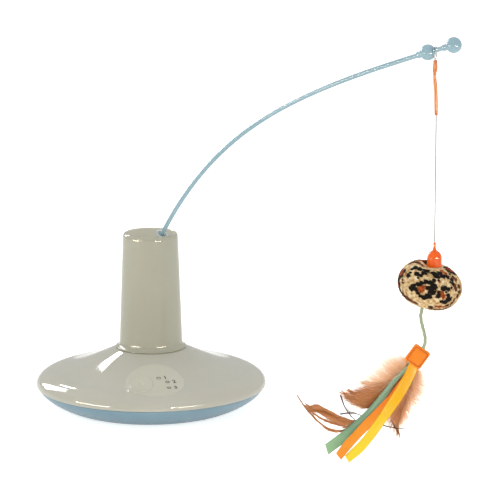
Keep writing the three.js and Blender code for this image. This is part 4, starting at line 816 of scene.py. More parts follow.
# Screws
# Steel pan heads with a rounded edge and a cross recess, each on its shank.
# Four hold the base shells from below and a flatter one holds the battery door.
def cross_screw(name, place, shank, head, head_height, length):
    """A screw with its point up and its head's upper face at the place."""
    rows = [(head * 0.8, -head_height), (head * 0.94, -head_height * 0.85), (head, -head_height * 0.5), (head, 0)]
    rows += [(shank, 0), (shank, length - shank), (shank * 0.2, length)]
    made = peg(name, place, rows, 32)
    for turn in (0, quarter_turn):
        slot = head * 0.6, head * 0.12
        blade = box_piece("blade", (-slot[0], -slot[1], -2 * head_height), (*slot, -head_height * 0.45))
        blade.data.transform(Matrix.Translation(place) @ Matrix.Rotation(turn, 4, "Z"))
        carve(made, blade)
    return made


def metal(name, colour, darker, roughness):
    """Bright metal with the fine drawn lines of wire and turned parts."""
    finish = Finish(name, colour, roughness, 1)
    stretched = finish.node("ShaderNodeMapping", {"Vector": finish.place, "Scale": (2000, 2000, 60)})
    drawn = finish.noise(1, 3, stretched.outputs["Vector"])
    finish.link(finish.ramp(drawn, [(0.3, darker), (0.7, colour)]), "Base Color")
    finish.bump(drawn, 0.12, 0.00005)
    return finish


# Steel: bright grey with the fine lines of drawn wire.
steel = metal("steel", "#b9bcc0", "#9a9da2", 0.32).material
shank, head = 0.0014, 0.0028
seated = Vector((0, 0, 0.0107))
case_screw = cross_screw("case_screw_head_1", screw_places[0] + seated, shank, head, 0.0018, 0.012)
for number, place in enumerate(screw_places, 1):
    made = case_screw if number == 1 else copied(case_screw, f"case_screw_head_{number}", place - screw_places[0])
    settle(made, "base", steel, "steel", f"case_screw_{number}")
door_screw = cross_screw("door_screw_head", Vector((0, door_screw_y, -0.00003)), shank, head, 0.00064, 0.007)
settle(door_screw, "door", steel, "steel", "door_screw")

# Tower shell
# The tapered wall: a flared foot with a small rounded edge, a soft lip, and the well with its floor inside.
# It is moulded in one piece, and its spigot is pushed in the dish's opening.
cup_floor = tower_height - 0.044
tower_foot = collar.y + seat
foot_radius = 0.0353
foot_edge = 0.0008
flare_height = 0.0074
lip_height = tower_height - 0.005
wall_foot = 0.0318
wall_top = 0.0276


def tower_radius(height):
    """How wide the tapered wall is outside, at a height."""
    return wall_foot + (wall_top - wall_foot) * (height - tower_foot) / (lip_height - tower_foot)


flare_wall = tower_radius(tower_foot + flare_height)
cup_radius = 0.0243
spigot_radius = 0.0292
wall = 0.0022
shaft_hole = 0.0056
spigot_foot = collar.y - 0.008
tower_profile = [
    (spigot_radius - wall, spigot_foot), (spigot_radius, spigot_foot), (spigot_radius, tower_foot),
    (foot_radius - foot_edge, tower_foot),
    *arc((foot_radius - foot_edge, tower_foot + foot_edge), foot_edge, -75, 60, 8),
]
for step in range(1, 15):
    angle = quarter_turn * step / 14
    tower_profile.append((
        flare_wall + (foot_radius - foot_edge * 0.5 - flare_wall) * (1 - math.sin(angle)),
        tower_foot + 1.9 * foot_edge + (flare_height - 1.9 * foot_edge) * (1 - math.cos(angle)),
    ))
tower_profile += [(tower_radius(z), z) for z in np.linspace(tower_foot + flare_height, lip_height, 12)[1:-1]]
lip_run = wall_top - cup_radius - 0.0007
tower_profile += [
    (wall_top - lip_run + lip_run * math.cos(a), lip_height + (tower_height - lip_height) * math.sin(a))
    for a in np.linspace(0, quarter_turn, 14)
]
tower_profile += [
    (cup_radius + 0.0002, tower_height - 0.0003), (cup_radius, tower_height - 0.0007),
    (cup_radius, cup_floor + 0.0012), (cup_radius - 0.0004, cup_floor + 0.0003), (cup_radius - 0.0012, cup_floor),
    (shaft_hole, cup_floor), (shaft_hole, cup_floor - wall), (tower_radius(cup_floor) - wall, cup_floor - wall),
    (spigot_radius - wall, tower_foot + flare_height),
]
tower = turned("tower", tower_profile, 160)
# Tower plastic: a warmer sage, with painted light inside the mouth: a paler colour and a faint painted glow.
mouth = moulded("sage_mouth", "#b3b2a1", "#b0af9e", "#b6b5a4", 0.07)
side = mouth.node("ShaderNodeSeparateXYZ", {"Vector": mouth.place}).outputs
square = mouth.maths("ADD", mouth.maths("POWER", side["X"], 2), mouth.maths("POWER", side["Y"], 2))
# Painted light: inside the mouth the colour turns paler and the plastic glows a little, though no lamp is there.
mouth_painted_light = mouth.ramp(mouth.maths("MULTIPLY", mouth.maths("POWER", square, 0.5), 20), [(0.492, 1.0), (0.5, 0.0)])
plain = mouth.shader.inputs["Base Color"].links[0].from_socket
mouth.link(mouth.mix(mouth_painted_light, plain, linear("#dddacb")), "Base Color")
mouth.set("Emission Color", linear("#d8d4c0"))
mouth.link(mouth.maths("MULTIPLY", mouth_painted_light, 0.05), "Emission Strength")
settle(tower, "base", mouth.material, "sage_plastic", "tower_shell")

# Turntable
# A crowned disc in the tower's mouth with the leaning socket boss that holds the collar and the wand.
# It is moulded in the tower's plastic, and its hub stands on the output shaft.
socket_cross = Vector((0, 0, cup_floor + 0.0191))
wand_lean = math.radians(58.7)
root_way = wand_plane @ Vector((math.cos(wand_lean), 0, math.sin(wand_lean)))
table_thickness = 0.0022
table_under = cup_floor + 0.0009
table_top = table_under + table_thickness
table_edge = cup_radius - 0.0005
table_round = 0.0009
crown = 0.0034
hub = 0.005
shaft_radius = 0.0025
shaft_top = table_top + crown - table_thickness
hub_foot = cup_floor - wall - seat
table_profile = [
    (0, shaft_top), (shaft_radius, shaft_top), (shaft_radius, hub_foot), (hub, hub_foot), (hub, table_under),
    (table_edge, table_under), *arc((table_edge - table_round, table_top - table_round), table_round, 0, 90, 6),
    (table_edge * 0.82, table_top + 0.0003), (table_edge * 0.6, table_top + 0.001),
    (table_edge * 0.46, table_top + 0.0022), (hub * 1.9, table_top + 0.0031), (hub * 1.5, table_top + crown),
    (0, table_top + crown),
]
table = turned("table_disc", table_profile, 96)
socket_frame = along(root_way, socket_cross)
boss_radius, boss_depth, boss_top, boss_round = 0.0062, 0.0165, 0.008, 0.0006
boss_rows = [(0, -boss_depth), (boss_radius, -boss_depth)]
boss_rows += [*arc((boss_radius - boss_round, boss_top - boss_round), boss_round, 0, 90, 5), (0, boss_top)]
boss = turned("boss", boss_rows, 64, socket_frame)
trim = 0.05
carve(boss, box_piece("boss_trim", (-trim, -trim, table_under - trim), (trim, trim, table_under)))
carve(table, boss, "UNION")
wand_bore, wand_foot = 0.00245, -0.0043
collar_bore, collar_foot = 0.0043, 0.0027
bore_rows = [(0, wand_foot), (wand_bore, wand_foot), (wand_bore, collar_foot), (collar_bore, collar_foot)]
bore_rows += [(collar_bore, 0.02), (0, 0.02)]
carve(table, turned("bore", bore_rows, 40, socket_frame))
# The turntable sits inside the mouth, so it takes the same painted paler colour and glow.
settle(level(table), "rotor", mouth.material, "sage_plastic", "turntable")

# Socket collar
# A sleeve of clear plastic round the wand's root, in flutes that catch the light, flared at its mouth.
# A ridge round it rests on the socket that it is pushed into.

# Clear plastic: faintly blue and hazy, brighter along the edges of its flutes.
clear = Finish("clear_plastic", "#f6fafa", 0.12)
clear.set("Transmission Weight", 0.2)
clear.set("IOR", 1.46)
haze = clear.mottle(300, 3, [(0.3, "#e2ebec"), (0.7, "#f6fafa")])
clear.link(clear.ramp(haze, [(0.35, 0.05), (0.7, 0.16)]), "Roughness")
collar_outer, collar_inner = 0.004, 0.0028
ridge, ridge_foot, ridge_top = 0.0052, 0.0083, 0.0104
flare_foot, flare_rise, flare_reach = 0.0116, 0.0179, 0.0023


def flared(radius, start, end, count):
    """The part of the collar's profile that opens towards its mouth, between two shares of its rise."""
    shares = np.linspace(start, end, count)
    return [(radius + flare_reach * share**1.6, flare_foot + flare_rise * share) for share in shares]


collar_rows = [(wand_bore, 0.003), (collar_outer, 0.003), (collar_outer, ridge_foot), (ridge, ridge_foot)]
collar_rows += [(ridge, ridge_top), (collar_outer, flare_foot), *flared(collar_outer, 0.08, 1, 16)]
collar_rows += [(0.0056, 0.0297), (0.0052, 0.0294), *flared(collar_inner, 0.95, 0.05, 12)]


def fluted(angle, height):
    """Nine shallow flutes that fade in above the ridge."""
    return 1 + 0.035 * math.cos(9 * angle) * min(1, max(0, (height - ridge_top) / 0.006))


collar_piece = turned("collar_sleeve", collar_rows, 108, socket_frame, fluted, math.radians(60))
settle(collar_piece, "rotor", clear.material, "clear_plastic", "socket_collar")

# Wand rod
# One long bent rod: straight in its socket, then a single easy bend to the neck between the two beads.
# It is solid light blue plastic, and its root is a push fit in the socket.

# Wand plastic: light blue, with one narrow gleam that follows the bend.
wand_plastic = moulded("wand_plastic", "#98b8c5", "#94b4c1", "#9dbdca", 0.14).material
bead_gap = 0.0299
end_centre = bead_centre + neck_way * bead_gap
wand_radius = 0.00215
straight_length = 0.0286
bend_start = socket_cross + root_way * straight_length
tip_lean = math.radians(18.6)
tip_way = wand_plane @ Vector((math.cos(tip_lean), 0, math.sin(tip_lean)))
span = (bead_centre - bend_start).length
root_pull, tip_pull = 0.356 * span, 0.427 * span
bend = bezier((bend_start, bend_start + root_way * root_pull, bead_centre - tip_way * tip_pull, bead_centre), 90)
root_depth = 0.004
wand_line = [socket_cross - root_way * root_depth, socket_cross + root_way * 0.012, *bend, end_centre]
wand = piece_from("wand_bent_rod", *skin(tube(wand_line, wand_radius, 28)))
settle(wand, "wand", wand_plastic, "wand_plastic", "wand_rod")

# Wand beads
# Two balls on the neck, each with a short tapered collar on the side of the socket.
# They are moulded in the wand's plastic and keep the loop between them.
bead_radius = 0.0074
bead_bore = wand_radius + 0.00001
bead_foot = [(bead_bore, -0.0124), (0.0026, -0.0124), (0.0029, -0.012), (0.0031, -0.0076), (0.00315, -0.0072)]
bead_rows = [*bead_foot, *arc((0, 0), bead_radius, -65, 66, 33), (0.0026, 0.007), (bead_bore, 0.0069)]
stop_bead = turned("stop_bead", bead_rows, 64, along(neck_way, bead_centre))
settle(stop_bead, "wand", wand_plastic, "wand_plastic", "inner_stop_bead")
end_rows = [(0, -0.0004), (bead_bore, -0.0004), *bead_foot, *arc((0, 0), bead_radius, -65, 89, 39)]
end_rows += [(0, bead_radius)]
end_bead = turned("end_bead", end_rows, 64, along(neck_way, end_centre))
settle(end_bead, "wand", wand_plastic, "wand_plastic", "end_ball")

# Wire loop
# A bright steel wire bent over the neck, where it is free to turn.
# Its two legs are held side by side in the sleeve.
wire_radius = 0.00045
loop_radius = wand_radius / math.cos(neck_lean) + seat + wire_radius
leg_gap = wire_radius + seat / 2
leg_end = -0.011
right_side = [*arc((0, 0), loop_radius, 90, -18, 5), (leg_gap, -loop_drop), (leg_gap, leg_end)]
loop_route = [(-y, z) for y, z in reversed(right_side[1:])] + right_side
loop_points = [loop_centre + wand_plane @ Vector((0, y, 0)) + Vector((0, 0, z)) for y, z in loop_route]
wire_loop = piece_from("wire_hanger", *skin(tube(even(catmull(loop_points, 10), 90), wire_radius, 14)))
settle(wire_loop, "loop", steel, "steel", "wire_loop")

# Shrink sleeve
# A thin orange plastic sleeve, wide at its top, drawn in below and slightly wavy.
# It is shrunk with heat over the loop's legs and the end of the lure line.
sleeve_radius = 0.0016
sleeve_shape = [
    (0, 0.55), (0, 1.0), (0.012, 1.14), (0.05, 1.16), (0.1, 1.34), (0.15, 1.36), (0.19, 1.2), (0.23, 0.92),
    (0.29, 0.88), (0.36, 1.0), (0.42, 1.06), (0.5, 1.02), (0.6, 0.98), (0.72, 1.03), (0.84, 0.97), (0.95, 1.0),
    (0.99, 0.96), (1, 0.8),
]
sleeve_rows = [(0, -0.00005), *((width * sleeve_radius, -share * sleeve_length) for share, width in sleeve_shape)]
sleeve_rows += [(0, -sleeve_length)]
sleeve_frame = along(-sleeve_way, sleeve_top)


def crumpled(angle, height):
    """How far the shrunk sleeve stands in or out, at an angle and a height."""
    return 1 + 0.05 * math.sin(2 * angle + 420 * height) * (0.4 + 0.6 * math.sin(260 * height) ** 2)


sleeve = turned("shrink_sleeve", sleeve_rows, 36, sleeve_frame, crumpled, math.radians(70))
kink, kink_share, kink_spread = 0.0008, 0.3, 0.17
for vertex in sleeve.data.vertices:
    share = (vertex.co - sleeve_top).dot(sleeve_way) / sleeve_length
    vertex.co.x -= kink * math.exp(-(((share - kink_share) / kink_spread) ** 2))
# Shrunk sleeve: waxy orange, paler and darker in stretched streaks.
shrink = Finish("sleeve_orange", "#f09a5c", 0.3)
shade = shrink.node("ShaderNodeMapping", {"Vector": shrink.place, "Scale": (500, 500, 90)})
tint = shrink.ramp(shrink.noise(1, 3, shade.outputs["Vector"]), [(0.3, "#d06824"), (0.5, "#e8823c"), (0.7, "#f2a064")])
shrink.link(tint, "Base Color")
shrink.set("Transmission Weight", 0.08)
shrink.set("IOR", 1.45)
shrink.bump(shrink.noise(900, 3), 0.25, 0.0002)
settle(sleeve, "loop", shrink.material, "sleeve_orange", "sleeve")

# Bell cap
# A glossy orange bell with a thin ferrule on top, moulded in one piece.
# The ball's gathered cloth is drawn up inside it.

# Orange plastic: hot and glossy, with one sharp highlight on the shoulder.
orange_plastic = moulded("orange_plastic", "#ff600a", "#f85806", "#ff6c14", 0.14).material
cap_rows = [(0, ferrule_length), (0.0006, ferrule_length), (0.0009, ferrule_length - 0.0003)]
cap_rows += [(0.00115, ferrule_length - 0.0008), (0.00125, 0.005), (0.0016, 0.0032), (0.00165, 0.0006)]
cap_rows += [(0.0021, 0.0001)]
bell_radius, bell_shoulder = 0.0068, cap_height * 0.47
cap_rows += [
    (bell_radius * math.cos(a), bell_shoulder * (math.sin(a) - 1)) for a in np.radians(np.linspace(74, 0, 16))
]
cap_rows += [(0.00685, -0.0095), (0.0069, -0.0125), (0.00695, -0.0146), (0.0069, -0.0151), (0.0065, -cap_height)]
cap_rows += [(0.0058, -cap_height), (0.0057, -0.0148), (0.0057, -0.0092), (0.004, -0.0072), (0, -0.0068)]
cap = turned("cap_bell", cap_rows, 72, Matrix.Translation(cap_top))
settle(cap, "ball", orange_plastic, "orange_plastic", "bell_cap")

# Plush ball
# A stuffed bun of short leopard pile: sewn from gores, gathered in pleats under the cap and drawn in below.
# Pale hems of the gathered cloth stand out round the cap's mouth; their pale cream is a painted highlight on the
# pleats.
bun_radius = 0.0301
bun_turn = Matrix.Rotation(bun_lean, 3, "Y")
seam_turns = [math.radians(a) for a in (207, 332, 80)]


def bun_point(polar, angle):
    """A point of the stuffed ball, from its own foot (polar 0) to its crown."""
    side = math.sin(polar)
    crown = math.cos(polar) < 0
    dimple = 1 - 0.1 * math.exp(-((side / 0.35) ** 2))
    gather = math.exp(-((side - 0.3) ** 2) / (0.2 if crown else 0.08))
    pleat = 1 + (0.06 if crown else 0.035) * gather * (math.cos(12 * angle) + 0.4 * math.cos(19 * angle + 1))
    lumps = 1 + 0.012 * math.sin(3 * angle + 1.3) * side + 0.01 * math.sin(5 * angle + 4 * polar)
    seam = 0
    for turn in seam_turns:
        apart = math.remainder(angle - turn, full_turn)
        seam += math.exp(-((apart / 0.06) ** 2)) * min(1, 2 * side)
    reach = bun_radius * side**0.9 * pleat * lumps * (1 - 0.05 * seam)
    height = -bun_half_height * dimple * math.cos(polar) * (1 - 0.02 * seam) * (crown_share if crown else 1)
    place = bun_middle + bun_turn @ Vector((reach * math.cos(angle), reach * math.sin(angle), height))
    if not crown:
        return place
    away = (place - cap_top).xy
    front = max(0, -away.y / max(away.length, 0.001))
    rise = max(0, away.length - 0.0068) * (0.12 + 0.7 * max(0, 1 - front) ** 1.3)
    ceiling = cap_top.z - cap_height - 0.0002 + rise
    soft = 0.0009
    lower, higher = sorted((place.z, ceiling))
    place.z = lower - soft * math.log(1 + math.exp((lower - higher) / soft))
    return place


# Each mark is drawn: how far it lies from the ball's foot, how far round it, and its size, in degrees.
black_marks = [
    (80, -127, 4), (88, -123, 4), (83, -116, 4), (96, -115, 4), (103, -111, 3), (108, -104, 4), (109, -96, 4),
    (101, -88, 5), (89, -89, 5), (77, -92, 5), (70, -99, 4), (71, -106, 3), (95, -98, 4), (76, -112, 3),
    (104, -69, 5), (105, -60, 4), (92, -75, 4), (83, -75, 4), (91, -58, 3), (81, -52, 5), (72, -56, 4),
    (72, -64, 3), (97, -63, 2), (47, -78, 3), (63, -44, 3), (135, -96, 4), (129, -87, 4), (140, -80, 4),
    (133, -72, 4), (135, -60, 4), (117, -91, 3), (107, -88, 2), (120, -82, 2), (122, -54, 2), (105, -144, 4),
    (114, -143, 2), (123, -148, 3), (130, -145, 4), (132, -132, 4), (118, -128, 4), (118, -119, 3),
    (127, -116, 4), (135, -114, 4), (135, -124, 2), (110, -121, 2), (128, -47, 3), (119, -47, 3), (109, -51, 2),
    (142, -45, 2),
]
rust_marks = [
    (88, -108, 5), (94, -105, 3), (82, -108, 3), (93, -70, 3), (86, -66, 4), (80, -64, 2), (53, -67, 3),
    (55, -59, 4), (57, -49, 3), (149, -72, 3), (144, -62, 3), (117, -80, 2),
]
# Painted shade: dark brown strokes along the ball's outline, where its sides turn away from the camera.
edge_shade_marks = [
    (93, -175, 2), (83, -171, 2), (72, -170, 2), (62, -167, 2), (53, -164, 3), (48, -154, 3), (46, -141, 3),
    (44, -128, 2), (42, -117, 2), (88, -157, 1), (82, -154, 1), (130, -180, 2), (138, -175, 2), (146, -165, 2),
    (153, -152, 2), (134, -38, 2), (129, -32, 2), (115, -42, 2), (107, -38, 2), (112, -23, 2), (99, -20, 2),
    (89, -27, 2), (81, -34, 2), (70, -35, 2), (38, -72, 2), (39, -58, 2), (42, -45, 2), (48, -34, 2),
    (57, -31, 2),
]


def facing_of(polar, angle):
    """Directions from the ball's middle, for angles from its foot and angles round it."""
    polar, angle = np.asarray(polar), np.asarray(angle)
    return np.stack([np.sin(polar) * np.cos(angle), np.sin(polar) * np.sin(angle), -np.cos(polar)], -1)


def scattered_marks(count):
    """Broken rosettes for the sides and the back: five blots round a rust heart, one of them missing."""
    blots, hearts, places = [], [], []
    while len(places) < count:
        way = Vector([random.gauss(0, 1) for _ in range(3)]).normalized()
        if way.y < -0.12 or any(way.dot(other) > 0.87 for other in places):
            continue
        places.append(way)
        polar, angle = math.degrees(math.acos(-way.z)), math.degrees(math.atan2(way.y, way.x))
        hearts.append((polar, angle, 6))
        gap, turn = random.randrange(6), random.uniform(0, 60)
        for k in range(6):
            if k != gap:
                around = math.radians(60 * k + turn)
                reach = random.uniform(9, 11)
                spread = max(0.35, math.sin(math.radians(polar)))
                place = polar + reach * math.sin(around), angle + reach * math.cos(around) / spread
                blots.append((*place, random.uniform(4, 6)))
    return blots, hearts


blots, hearts = scattered_marks(15)
# The third set is painted edge shade, not print.
marks_and_edge_shade = [black_marks + blots, rust_marks + hearts, edge_shade_marks]


def print_at(ways):
    """How deep each direction lies in a black mark, a rust mark and a patch of painted edge shade: 1 in its middle, 0
    at its edge.
    """
    layers = []
    for marks, swell in zip(marks_and_edge_shade, (1.65, 1.6, 3.4)):
        middles = facing_of(*np.radians(np.array(marks)[:, :2].T))
        sizes = np.array(marks)[:, 2] * swell
        apart = np.degrees(np.arccos(np.clip(ways @ middles.T, -1, 1)))
        layers.append(np.clip((1 - apart / sizes).max(1), -2, 1) * 0.25 + 0.5)
    return np.stack(layers, -1)


bun_rows, bun_sides = 110, 240
bun_angles = [
    (math.pi * (0.004 + 0.992 * row / bun_rows), full_turn * k / bun_sides)
    for row in range(bun_rows + 1)
    for k in range(bun_sides)
]
bun_places = [bun_point(*pair) for pair in bun_angles]
bun_rings = [bun_places[row * bun_sides : (row + 1) * bun_sides] for row in range(bun_rows + 1)]
bun = piece_from("plush_bun", *skin(bun_rings), crisp=no_crease)
outward(bun)
bun_marks_and_shade = print_at(facing_of(*np.array(bun_angles).T))
bun_values = np.full((len(bun.data.vertices), 3), 0.25)
bun_values[: len(bun_marks_and_shade)] = bun_marks_and_shade
bun.data.attributes.new("print_and_shade", "FLOAT_VECTOR", "POINT").data.foreach_set("vector", bun_values.ravel())


def leopard(name):
    """Leopard pile: cream and tan ground, broken black marks, rust hearts and dark brown painted shade along the
    outline.
    """
    finish = Finish(name, "#dcb985", 0.85)
    layers = finish.node("ShaderNodeAttribute", attribute_name="print_and_shade").outputs["Vector"]
    parts = finish.node("ShaderNodeSeparateXYZ", {"Vector": layers}).outputs
    rough = finish.maths("MULTIPLY", finish.maths("SUBTRACT", finish.noise(420, 3), 0.5), 0.3)
    fine = finish.maths("MULTIPLY", finish.maths("SUBTRACT", finish.noise(1500, 2), 0.5), 0.16)
    ragged = finish.maths("ADD", rough, fine)
    ground = finish.ramp(
        finish.noise(330, 4), [(0.3, "#9c7546"), (0.42, "#cda874"), (0.56, "#ead1a2"), (0.75, "#faf0d8")],
    )
    black = finish.ramp(finish.noise(900, 2), [(0.35, "#050302"), (0.7, "#1c110a")])
    rust = finish.ramp(finish.noise(600, 2), [(0.35, "#7a3210"), (0.6, "#b5541c"), (0.8, "#c9752f")])
    painted_edge_shade = finish.ramp(finish.noise(700, 2), [(0.35, "#3a1a10"), (0.65, "#7a4326")])
    # The brown layer is painted shade along the outline; the black and rust layers are the print.
    for part, shade, edge in (("Z", painted_edge_shade, 0.52), ("X", black, 0.5), ("Y", rust, 0.52)):
        held = finish.ramp(finish.maths("ADD", parts[part], ragged), [(edge - 0.02, 0.0), (edge + 0.05, 1.0)])
        ground = finish.mix(held, ground, shade)
    finish.link(ground, "Base Color")
    finish.set("Sheen Weight", 0.04)
    finish.set("Specular IOR Level", 0.12)
    return finish


pile = leopard("plush_pile")
pile.bump(pile.noise(1400, 3), 0.6, 0.0006)
settle(bun, "ball", pile.material, "plush", "plush_ball")
# Fold cloth: pale cream hems, a painted highlight on the pleats under the cap.
fold_highlight_cloth = Finish("fold_highlight_cloth", "#ecd9b4", 0.8)
fold_highlight_cloth.mottle(1500, 2, [(0.35, "#e2cda6"), (0.65, "#fff4dc")])
fold_count, fold_radius = 26, 0.00042
mouth_inner, mouth_outer = 0.0052, 0.0066
cap_foot = cap_top - Vector((0, 0, cap_height))
fold_skins = []
for k in range(fold_count):
    turn = full_turn * (k + random.uniform(-0.3, 0.3)) / fold_count
    way = Vector((math.cos(turn), math.sin(turn), 0))
    reach = random.uniform(0.003, 0.0075)
    fall = 0.75 if way.y < 0 else 0.1
    hem = [(mouth_inner, 0.0003), (mouth_outer, -0.0002)]
    hem += [(mouth_outer + reach * 0.5, -fall * reach * 0.35), (mouth_outer + reach, -fall * reach)]
    line = [cap_foot + way * out + Vector((0, 0, up)) for out, up in hem]
    fold_skins.append(skin(tube(catmull(line, 4), fold_radius, 8)))
folds = piece_from("plush_folds", *together(fold_skins), crisp=no_crease)
settle(folds, "ball", fold_highlight_cloth.material, "plush")


# Plush fibres
# Short leaning hairs over the whole ball, which roughen its outline.
# Each is coloured by the printed marks and the painted edge shade at its own root.
def hairs(name, roots, material, values=None):
    """Thin bent blades. Each root is (place, direction, length, width); values holds the printed marks and painted
    edge shade at each root.
    """
    points, faces = [], []
    for place, way, length, width in roots:
        flat = way.orthogonal().normalized()
        flat.rotate(Matrix.Rotation(random.uniform(0, full_turn), 3, way))
        droop = Vector((0, 0, -0.25 * length)) + flat.cross(way) * random.uniform(-0.3, 0.3) * length
        first = len(points)
        for share, girth in ((0, 1), (0.55, 0.75)):
            middle = place + way * length * share + droop * share**2
            points += [middle - flat * width * girth / 2, middle + flat * width * girth / 2]
        points.append(place + way * length + droop)
        faces += [(first, first + 1, first + 3, first + 2), (first + 2, first + 3, first + 4)]
    made = piece_from(name, points, faces, crisp=math.pi)
    if values is not None:
        layer = made.data.attributes.new("print_and_shade", "FLOAT_VECTOR", "POINT")
        layer.data.foreach_set("vector", np.repeat(values, 5, axis=0).ravel())
    made.data.materials.append(material)
    return made


hair_count, hair_width, hair_sink = 15000, 0.0002, 0.0002
hair_roots, hair_ways = [], []
for _ in range(hair_count):
    polar = math.acos(random.uniform(-0.995, 0.995))
    angle = random.uniform(0, full_turn)
    place = bun_point(polar, angle)
    if (place - cap_top).xy.length < 0.0064 and place.z > cap_top.z - cap_height - 0.003:
        continue
    near = bun_point(polar + 0.02, angle)
    beside_point = bun_point(polar, angle + 0.02)
    normal = (near - place).cross(beside_point - place).normalized()
    normal = normal if normal.dot(place - bun_middle) > 0 else -normal
    lean = Vector([random.gauss(0, 0.35) for _ in range(3)])
    way = (normal + lean).normalized()
    hair_roots.append((place - normal * hair_sink, way, random.uniform(0.0005, 0.0012), hair_width))
    hair_ways.append((polar, angle))
hair_marks_and_shade = print_at(facing_of(*np.array(hair_ways).T))
bun_hairs = hairs("plush_fibres", hair_roots, pile.material, hair_marks_and_shade)
settle(bun_hairs, "ball", leopard("plush_fibre").material, "plush")

# Felt tag
# A thick square of orange felt with rounded corners, pressed along its edge by a stitched border.
# The tail cord is sewn in its upper corner, the ribbons and feathers in its foot.
tag_turn = Matrix.Rotation(math.radians(35.3), 3, "Y")
tag_side = 0.0174
tag_length = 0.0186
tag_thickness = 0.0044
tag_corner = 0.0022


def tag_frame(x, y, z):
    """A place in the tag: x along its edge, y through it, z down from its upper edge."""
    return cord_end + tag_turn @ Vector((x, y, z))


def spaced(ring, spacing):
    """A closed ring of (x, z) pairs cut again at an even spacing."""
    closed = [Vector((x, 0, z)) for x, z in [*ring, ring[0]]]
    length = sum((b - a).length for a, b in zip(closed, closed[1:]))
    return [(p.x, p.z) for p in even(closed, round(length / spacing))[:-1]]


def drawn_in(ring, share):
    """A ring of (x, z) pairs drawn in towards the tag's middle."""
    return [(x * share, tag_middle + (z - tag_middle) * share) for x, z in ring]


tag_middle = -tag_length / 2
half_thick = tag_thickness / 2
across, low, high = tag_side / 2 - tag_corner, tag_corner - tag_length, -tag_corner
tag_outline = []
for middle, start in (((across, high), 0), ((-across, high), 90), ((-across, low), 180), ((across, low), 270)):
    tag_outline += arc(middle, tag_corner, start, start + 90, 6)
tag_rim = spaced(tag_outline, 0.0006)
tag_rings = [
    (0.03, 1.0), (0.2, 1.0), (0.4, 0.99), (0.6, 0.98), (0.7, 0.94), (0.76, 0.8), (0.8, 0.78), (0.84, 0.86),
    (0.9, 0.93), (0.96, 0.86), (0.99, 0.7), (1.0, 0.4),
]
tag_skin = []
for share, depth in [*((s, -d) for s, d in tag_rings), *((s, d) for s, d in reversed(tag_rings))]:
    fluff = [0.00012 * math.sin(1700 * x + 2300 * z) * share for x, z in tag_rim]
    tag_skin.append([
        tag_frame(x, depth * half_thick + raised, z) for (x, z), raised in zip(drawn_in(tag_rim, share), fluff)
    ])
tag = piece_from("tag_felt", *skin(tag_skin), crisp=no_crease)
outward(tag)
# Felt: matted orange with lighter and darker tufts and no shine.
felt = Finish("felt_orange", "#fb8b33", 0.9)
mat = felt.noise(1100, 6, roughness=0.7)
matted = felt.ramp(mat, [(0.3, "#fa6e16"), (0.46, "#ff8e28"), (0.62, "#ff9e38"), (0.8, "#ffb65e")])
felt.link(matted, "Base Color")
felt.set("Sheen Weight", 0.1)
felt.set("Specular IOR Level", 0.2)
felt.bump(mat, 0.4, 0.0005)
settle(tag, "tag", felt.material, "felt_orange", "felt_tag")

# Tag stitches and fuzz
# A line of short thread stitches inside the border on both faces,
# and loose felt hairs round the edge and over the faces.

# Thread: a deeper red-orange with a slight shine, so that the stitches read as one line.
thread = Finish("stitch_thread", "#d2480f", 0.6)
thread.mottle(3000, 2, [(0.3, "#b93a08"), (0.7, "#de551a")])
stitch_radius, stitch_length = 0.00034, 0.00078
border_share = 0.8


def stitch(start, end):
    """A short padded thread that dips into the felt at both ends."""
    middle = (start + end) / 2
    out = tag_turn @ Vector((0, math.copysign(stitch_radius, (middle - cord_end).y), 0))
    line = [start, start.lerp(end, 0.15) + out, middle + out * 1.3, start.lerp(end, 0.85) + out, end]
    return skin(tube(line, stitch_radius, 8))


border = spaced(drawn_in(tag_outline, border_share), stitch_length)
stitch_skins = []
for depth in (-half_thick * border_share, half_thick * border_share):
    ends = [tag_frame(x, depth, z) for x, z in border]
    stitch_skins += [stitch(ends[k], ends[k + 1]) for k in range(0, len(ends) - 1, 2)]
stitches = piece_from("tag_stitches", *together(stitch_skins), crisp=no_crease)
settle(stitches, "tag", thread.material, "felt_orange")
fuzz_count, fuzz_width = 1600, 0.00008
felt_roots = []
for _ in range(fuzz_count):
    x, z = random.choice(tag_rim)
    share = 1 if random.random() < 0.5 else random.random() ** 0.5
    side_way = random.choice((-1, 1))
    out = tag_turn @ Vector((x, 0, z - tag_middle)).normalized() if share == 1 else Vector((0, side_way, 0))
    depth = random.uniform(-0.7, 0.7) if share == 1 else 0.93 * side_way
    place = tag_frame(x * share * 0.99, depth * half_thick, tag_middle + (z - tag_middle) * share * 0.99)
    way = (out + Vector([random.gauss(0, 0.6) for _ in range(3)])).normalized()
    felt_roots.append((place, way, random.uniform(0.0003, 0.0008), fuzz_width))
settle(hairs("tag_fuzz", felt_roots, felt.material), "tag", felt.material, "felt_orange")


# Ribbons
# Three woven satin ribbons, 10 mm wide, sewn in the tag's foot, each bent and turned along its own route.
# Each is one layer whose thickness comes from a modifier, and ends in a plain slanting cut.
def hung(places):
    """Places told in millimetres from the tail cord's end."""
    return [cord_end + Vector(place) * 0.001 for place in places]


def sewn_line(across, deep, places, steps):
    """A line that starts inside the tag's foot, leaves it at (across, deep) and follows its places."""
    foot = -tag_length - 0.0003
    start = [tag_frame(across, deep, foot + 0.0035), tag_frame(across, deep, foot)]
    return even(catmull([*start, *hung(places)], 20), steps)


